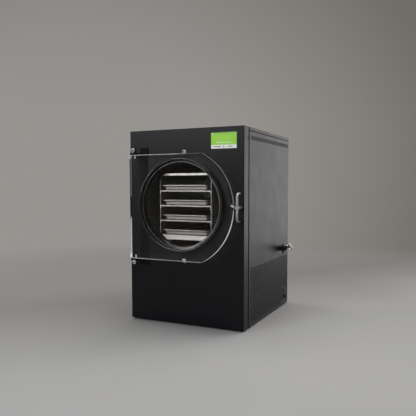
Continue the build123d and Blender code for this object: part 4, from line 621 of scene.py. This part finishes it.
def side_skin(name, side, keep, openings):
    """A side panel with its fine round perforation and its folded edges."""
    low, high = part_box(name)
    outer = side * max(abs(low.x), abs(high.x))
    y = (low.y, high.y)
    z = (low.z, high.z)
    levels = [z[0] + level for level in FIELD_LEVELS]
    centres = field_holes((y[0] + FIELD_FRONT, y[1] - FIELD_REAR), levels, keep)
    holes = [ring_points(c, HOLE, HOLE_SIDES) for c in centres]
    vents = vent_holes((y[0] + VENT_FRONT, y[1] - FIELD_REAR), z[1] - VENT_BELOW_TOP)
    holes += [ring_points(c, VENT_HOLE, VENT_SIDES) for c in vents]
    bm = bmesh.new()
    pierced_sheet(bm, rect_points((y[0], z[0]), (y[1], z[1])), holes + openings,
                  lambda u, v, depth: (outer - side * depth, u, v), SHEET)
    inward = sorted((outer - side * SHEET, outer - side * FLANGE))
    rear = y[1] - SHEET - SLIP
    add_block(bm, inward, (y[0], y[0] + SHEET), z)
    add_block(bm, inward, (y[0] + SHEET, rear), (z[1] - SHEET, z[1]))
    add_block(bm, inward, (rear - SHEET, rear), z)
    skin = piece(f"perforated_{name}", bm, MATERIALS["side_coat"])
    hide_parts(name)


def rear_skin():
    """The rear panel, perforated behind the fan."""
    low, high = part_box("rear_panel")
    fin_low, fin_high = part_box("condenser_coil")
    levels = [low.z + level for level in REAR_LEVELS]
    holes = [ring_points(c, HOLE, HOLE_SIDES) for c in field_holes((fin_low.x, fin_high.x), levels, anywhere)]
    bm = bmesh.new()
    pierced_sheet(bm, rect_points((low.x, low.z), (high.x, high.z)), holes,
                  lambda u, v, depth: (u, high.y - depth, v), SHEET)
    skin = piece("perforated_rear_panel", bm, MATERIALS["side_coat"])
    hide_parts("rear_panel")


# ---------------------------------------------------------------- door seal
SEAL_DEPTH = 17.5 * MM          # from its outside to the bore
SEAL_LIP_LENGTH = 14 * MM
SEAL_BEAD = 5 * MM              # radius of the bead's two rounded edges
SEAL_INNER = 4 * MM             # centre of the inner one, from the outside
SEAL_SKIRT = 10.5 * MM          # from the outside to the step at the back
SEAL_SKIRT_BACK = 10 * MM       # depth of that step
BEAD_STEPS = 8
SEAL_TURNS = 180
SEAL_SHARP = math.radians(50)


def seal_ring():
    """The glossy rubber seal: a rounded front bead and a lip that slopes back to the bore."""
    low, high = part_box("chamber_gasket")
    x, z = (low.x + high.x) / 2, (low.z + high.z) / 2
    outer = (high.x - low.x) / 2
    bore = outer - SEAL_DEPTH
    skirt = outer - SEAL_SKIRT
    profile = [(bore, high.y), (bore, high.y - SEAL_LIP_LENGTH)]
    for radius, start in ((outer - SEAL_INNER, 180), (outer - SEAL_BEAD, 270)):
        for i in range(BEAD_STEPS + 1):
            angle = math.radians(start + i * 90 / BEAD_STEPS)
            profile.append((radius + SEAL_BEAD * math.cos(angle), low.y + SEAL_BEAD * (1 + math.sin(angle))))
    profile += [(outer, high.y - SEAL_SKIRT_BACK), (skirt, high.y - SEAL_SKIRT_BACK), (skirt, high.y)]
    bm = bmesh.new()
    rows = []
    for i in range(SEAL_TURNS):
        angle = 2 * math.pi * i / SEAL_TURNS
        rows.append([bm.verts.new((x + r * math.cos(angle), y, z + r * math.sin(angle))) for r, y in profile])
    for i in range(SEAL_TURNS):
        for j in range(len(profile)):
            k = (j + 1) % len(profile)
            bm.faces.new((rows[i][j], rows[i - 1][j], rows[i - 1][k], rows[i][k]))
    ring = piece("door_seal", bm, MATERIALS["seal_rubber"], smooth=True)
    ring.data.set_sharp_from_angle(angle=SEAL_SHARP)
    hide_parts("chamber_gasket")


# ---------------------------------------------------------------- screen graphics
MARK_ROOT = 0.2 * MM            # how far a mark reaches into the screen
PATCH_PROUD = 0.08 * MM
BAR_PROUD = 0.12 * MM
# name, sides as shares of the screen's width, levels in mm from its foot, height above it, finish
MARKS = (
    ("screen_strip", (0.0, 1.0), (0.0, 13.0), PATCH_PROUD, "white"),
    ("screen_divider", (0.487, 0.50), (1.0, 12.0), BAR_PROUD, "grey"),
    ("screen_button_left", (0.11, 0.37), (5.6, 8.0), BAR_PROUD, "grey"),
    ("screen_button_right", (0.68, 0.83), (5.6, 8.0), BAR_PROUD, "grey"),
    ("screen_status", (0.03, 0.10), (50.5, 53.5), PATCH_PROUD, "white"),
    ("screen_gauge", (0.20, 0.80), (20.0, 22.0), PATCH_PROUD, "white"),
)


def screen_marks():
    """Plain bars and fields on the screen: a white strip below with two buttons."""
    low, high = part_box("display_screen")
    wide = high.x - low.x
    white = surface("screen_white", (0.60, 0.60, 0.58), (0.68, 0.68, 0.66), (0.2, 0.3), 120.0)
    glow = white.node_tree.nodes["Principled BSDF"]
    glow.inputs["Emission Color"].default_value = (0.95, 0.95, 0.93, 1)
    glow.inputs["Emission Strength"].default_value = 0.3
    grey = surface("screen_grey", (0.16, 0.17, 0.16), (0.22, 0.23, 0.22), (0.2, 0.3), 120.0)
    finishes = {"white": white, "grey": grey}
    for name, sides, levels, proud, finish in MARKS:
        bm = bmesh.new()
        add_block(bm, [low.x + share * wide for share in sides], (low.y - proud, low.y + MARK_ROOT),
                  [low.z + level * MM for level in levels])
        piece(name, bm, finishes[finish])


# ---------------------------------------------------------------- stage, light and camera
FLOOR_HALF = 6.0
FLOOR_DROP = 0.2 * MM
FRONT_RIGHT = (0.857, -0.516, 0)        # the floor pales this way
DIM_SPOT = (0.85, 0.95, 0)              # the floor is darker behind the cabinet's right side
BACKDROP_GLOW = (-0.62, 0.78, 0.05)     # where the wall is brightest


def pale_floor():
    """A pale, softly patched floor that fades into the backdrop, with painted shade towards the back left and
    behind the right side.
    """
    bm = bmesh.new()
    bmesh.ops.create_grid(bm, x_segments=8, y_segments=8, size=FLOOR_HALF)
    mesh = bpy.data.meshes.new("floor")
    bm.to_mesh(mesh)
    bm.free()
    floor = bpy.data.objects.new("floor", mesh)
    bpy.context.scene.collection.objects.link(floor)
    floor.location.z = -FLOOR_DROP
    mat, tree, shader = new_tree("floor_pale")
    mesh.materials.append(mat)
    where = coords(tree)
    speck = noise(tree, where, 260.0, 6.0, 0.7)
    patch = noise(tree, where, 2.2, 2.0)
    soft = noise(tree, where, 1.1, 2.0)
    pale = blend_colour(tree, spread(tree, soft, 0, 1), (0.390, 0.384, 0.374), (0.425, 0.419, 0.409))
    flecked = blend_colour(tree, spread(tree, speck, 0, 1), (0.350, 0.343, 0.333), (0.462, 0.455, 0.445))
    pale = blend_colour(tree, spread(tree, patch, 0, 0.8, 0.48, 0.6), pale, flecked)
    forward = vector_maths(tree, "DOT_PRODUCT", where, FRONT_RIGHT, "Value")
    # Darker towards the back left: partly the wall's tone, partly painted shade beside the cabinet.
    ground = blend_colour(tree, spread(tree, forward, 0, 1, -0.45, 0.35), (0.236, 0.228, 0.216), pale)
    # Painted shade on the floor behind the cabinet's right side, against the right-rear lamp's light.
    apart = vector_maths(tree, "DISTANCE", where, DIM_SPOT, "Value")
    lit = spread(tree, apart, 0.76, 1.0, 0.45, 1.35)
    tree.links.new(blend_colour(tree, lit, (0, 0, 0), ground), shader.inputs["Base Color"])
    shader.inputs["Roughness"].default_value = 0.9
    shader.inputs["Specular IOR Level"].default_value = 0.1
    add_bump(tree, shader, speck, 0.15, 0.5 * MM)
    reach = vector_maths(tree, "DISTANCE", where, (0, 0, 0), "Value")
    solid = spread(tree, reach, 1, 0, 1.3, 2.6)
    clear = node(tree, "ShaderNodeBsdfTransparent")
    out = node(tree, "ShaderNodeMixShader", {0: solid, 1: clear.outputs[0], 2: shader.outputs[0]})
    tree.links.new(out.outputs[0], tree.nodes["Material Output"].inputs["Surface"])


def backdrop():
    """A soft grey wall for the camera, gloss and glass, and a room light, brighter above, for the rest."""
    world = bpy.data.worlds.new("studio")
    bpy.context.scene.world = world
    world.use_nodes = True
    tree = world.node_tree
    tree.nodes.clear()
    way = node(tree, "ShaderNodeTexCoord").outputs["Generated"]
    toward = vector_maths(tree, "DOT_PRODUCT", way, BACKDROP_GLOW, "Value")
    wall = blend_colour(tree, spread(tree, toward, 0, 1, 0.81, 0.97),
                        (0.184, 0.170, 0.154), (0.308, 0.295, 0.280))
    lift = axis(tree, "Z", way)
    shade = spread(tree, lift, 1.0, 0.86, 0.12, 0.36)
    seen = node(tree, "ShaderNodeBackground", {"Color": wall, "Strength": shade})
    room = blend_colour(tree, spread(tree, lift, 0, 1, -0.1, 0.9), (0.08, 0.08, 0.085), (0.50, 0.50, 0.52))
    light = node(tree, "ShaderNodeBackground", {"Color": room}, Strength=0.8)
    ray = node(tree, "ShaderNodeLightPath").outputs
    path = maths(tree, "MAXIMUM", ray["Is Camera Ray"], ray["Is Glossy Ray"])
    path = maths(tree, "MAXIMUM", path, ray["Is Transmission Ray"])
    mix = node(tree, "ShaderNodeMixShader", {0: path, 1: light.outputs[0], 2: seen.outputs[0]})
    node(tree, "ShaderNodeOutputWorld", {"Surface": mix.outputs[0]})


def softbox(name, place, aim, size, power, tint=(1, 1, 1)):
    lamp = bpy.data.lights.new(name, "AREA")
    lamp.shape = "RECTANGLE"
    lamp.size, lamp.size_y = size
    lamp.energy = power
    lamp.color = tint
    obj = bpy.data.objects.new(name, lamp)
    bpy.context.scene.collection.objects.link(obj)
    obj.location = place
    obj.rotation_euler = (Vector(aim) - Vector(place)).to_track_quat("-Z", "Y").to_euler()
    obj.visible_camera = False


def lights():
    softbox("overhead", (0.5, 0.9, 3.0), (0.1, 0.0, 0.3), (3.0, 3.0), 84.0)
    softbox("front_left", (-1.55, -3.2, 1.75), (0, -0.2, 0.5), (2.4, 1.3), 40.0, (0.96, 0.98, 1.0))
    softbox("right_rear", (1.65, 3.2, 0.64), (0.25, 0.0, 0.4), (2.6, 1.8), 21.0, (1.0, 0.98, 1.0))
    softbox("left_side", (-3.2, 0.4, 1.7), (0.0, -0.3, 0.45), (1.2, 1.6), 24.0)


CAMERA_PLACE = (0.8778, -1.9002, 0.5143)
CAMERA_TURN = math.radians(25.294)      # to the left of straight back
CAMERA_TILT = math.radians(3.613)       # downwards
CAMERA_ROLL = math.radians(-0.045)


def camera():
    """A camera in front of the right corner, tilted slightly downwards."""
    data = bpy.data.cameras.new("camera")
    data.sensor_width = 36.0
    data.lens = 43.86
    data.shift_x = -0.0054
    data.shift_y = 0.0252
    data.clip_start = 0.05
    obj = bpy.data.objects.new("camera", data)
    bpy.context.scene.collection.objects.link(obj)
    forward = Vector((-math.sin(CAMERA_TURN) * math.cos(CAMERA_TILT),
                      math.cos(CAMERA_TURN) * math.cos(CAMERA_TILT), -math.sin(CAMERA_TILT)))
    right = Vector((math.cos(CAMERA_TURN), math.sin(CAMERA_TURN), 0))
    up = right.cross(forward)
    across = math.cos(CAMERA_ROLL) * right + math.sin(CAMERA_ROLL) * up
    above = -math.sin(CAMERA_ROLL) * right + math.cos(CAMERA_ROLL) * up
    placed = Matrix((across, above, -forward)).transposed().to_4x4()
    placed.translation = CAMERA_PLACE
    obj.matrix_world = placed
    bpy.context.scene.camera = obj


dress_nodes()
side_skin("right_side_panel", 1, off_inlet, right_openings())
side_skin("left_side_panel", -1, anywhere, left_openings())
rear_skin()
seal_ring()
screen_marks()
pale_floor()
backdrop()
lights()
camera()
bpy.context.scene.view_settings.view_transform = "Standard"
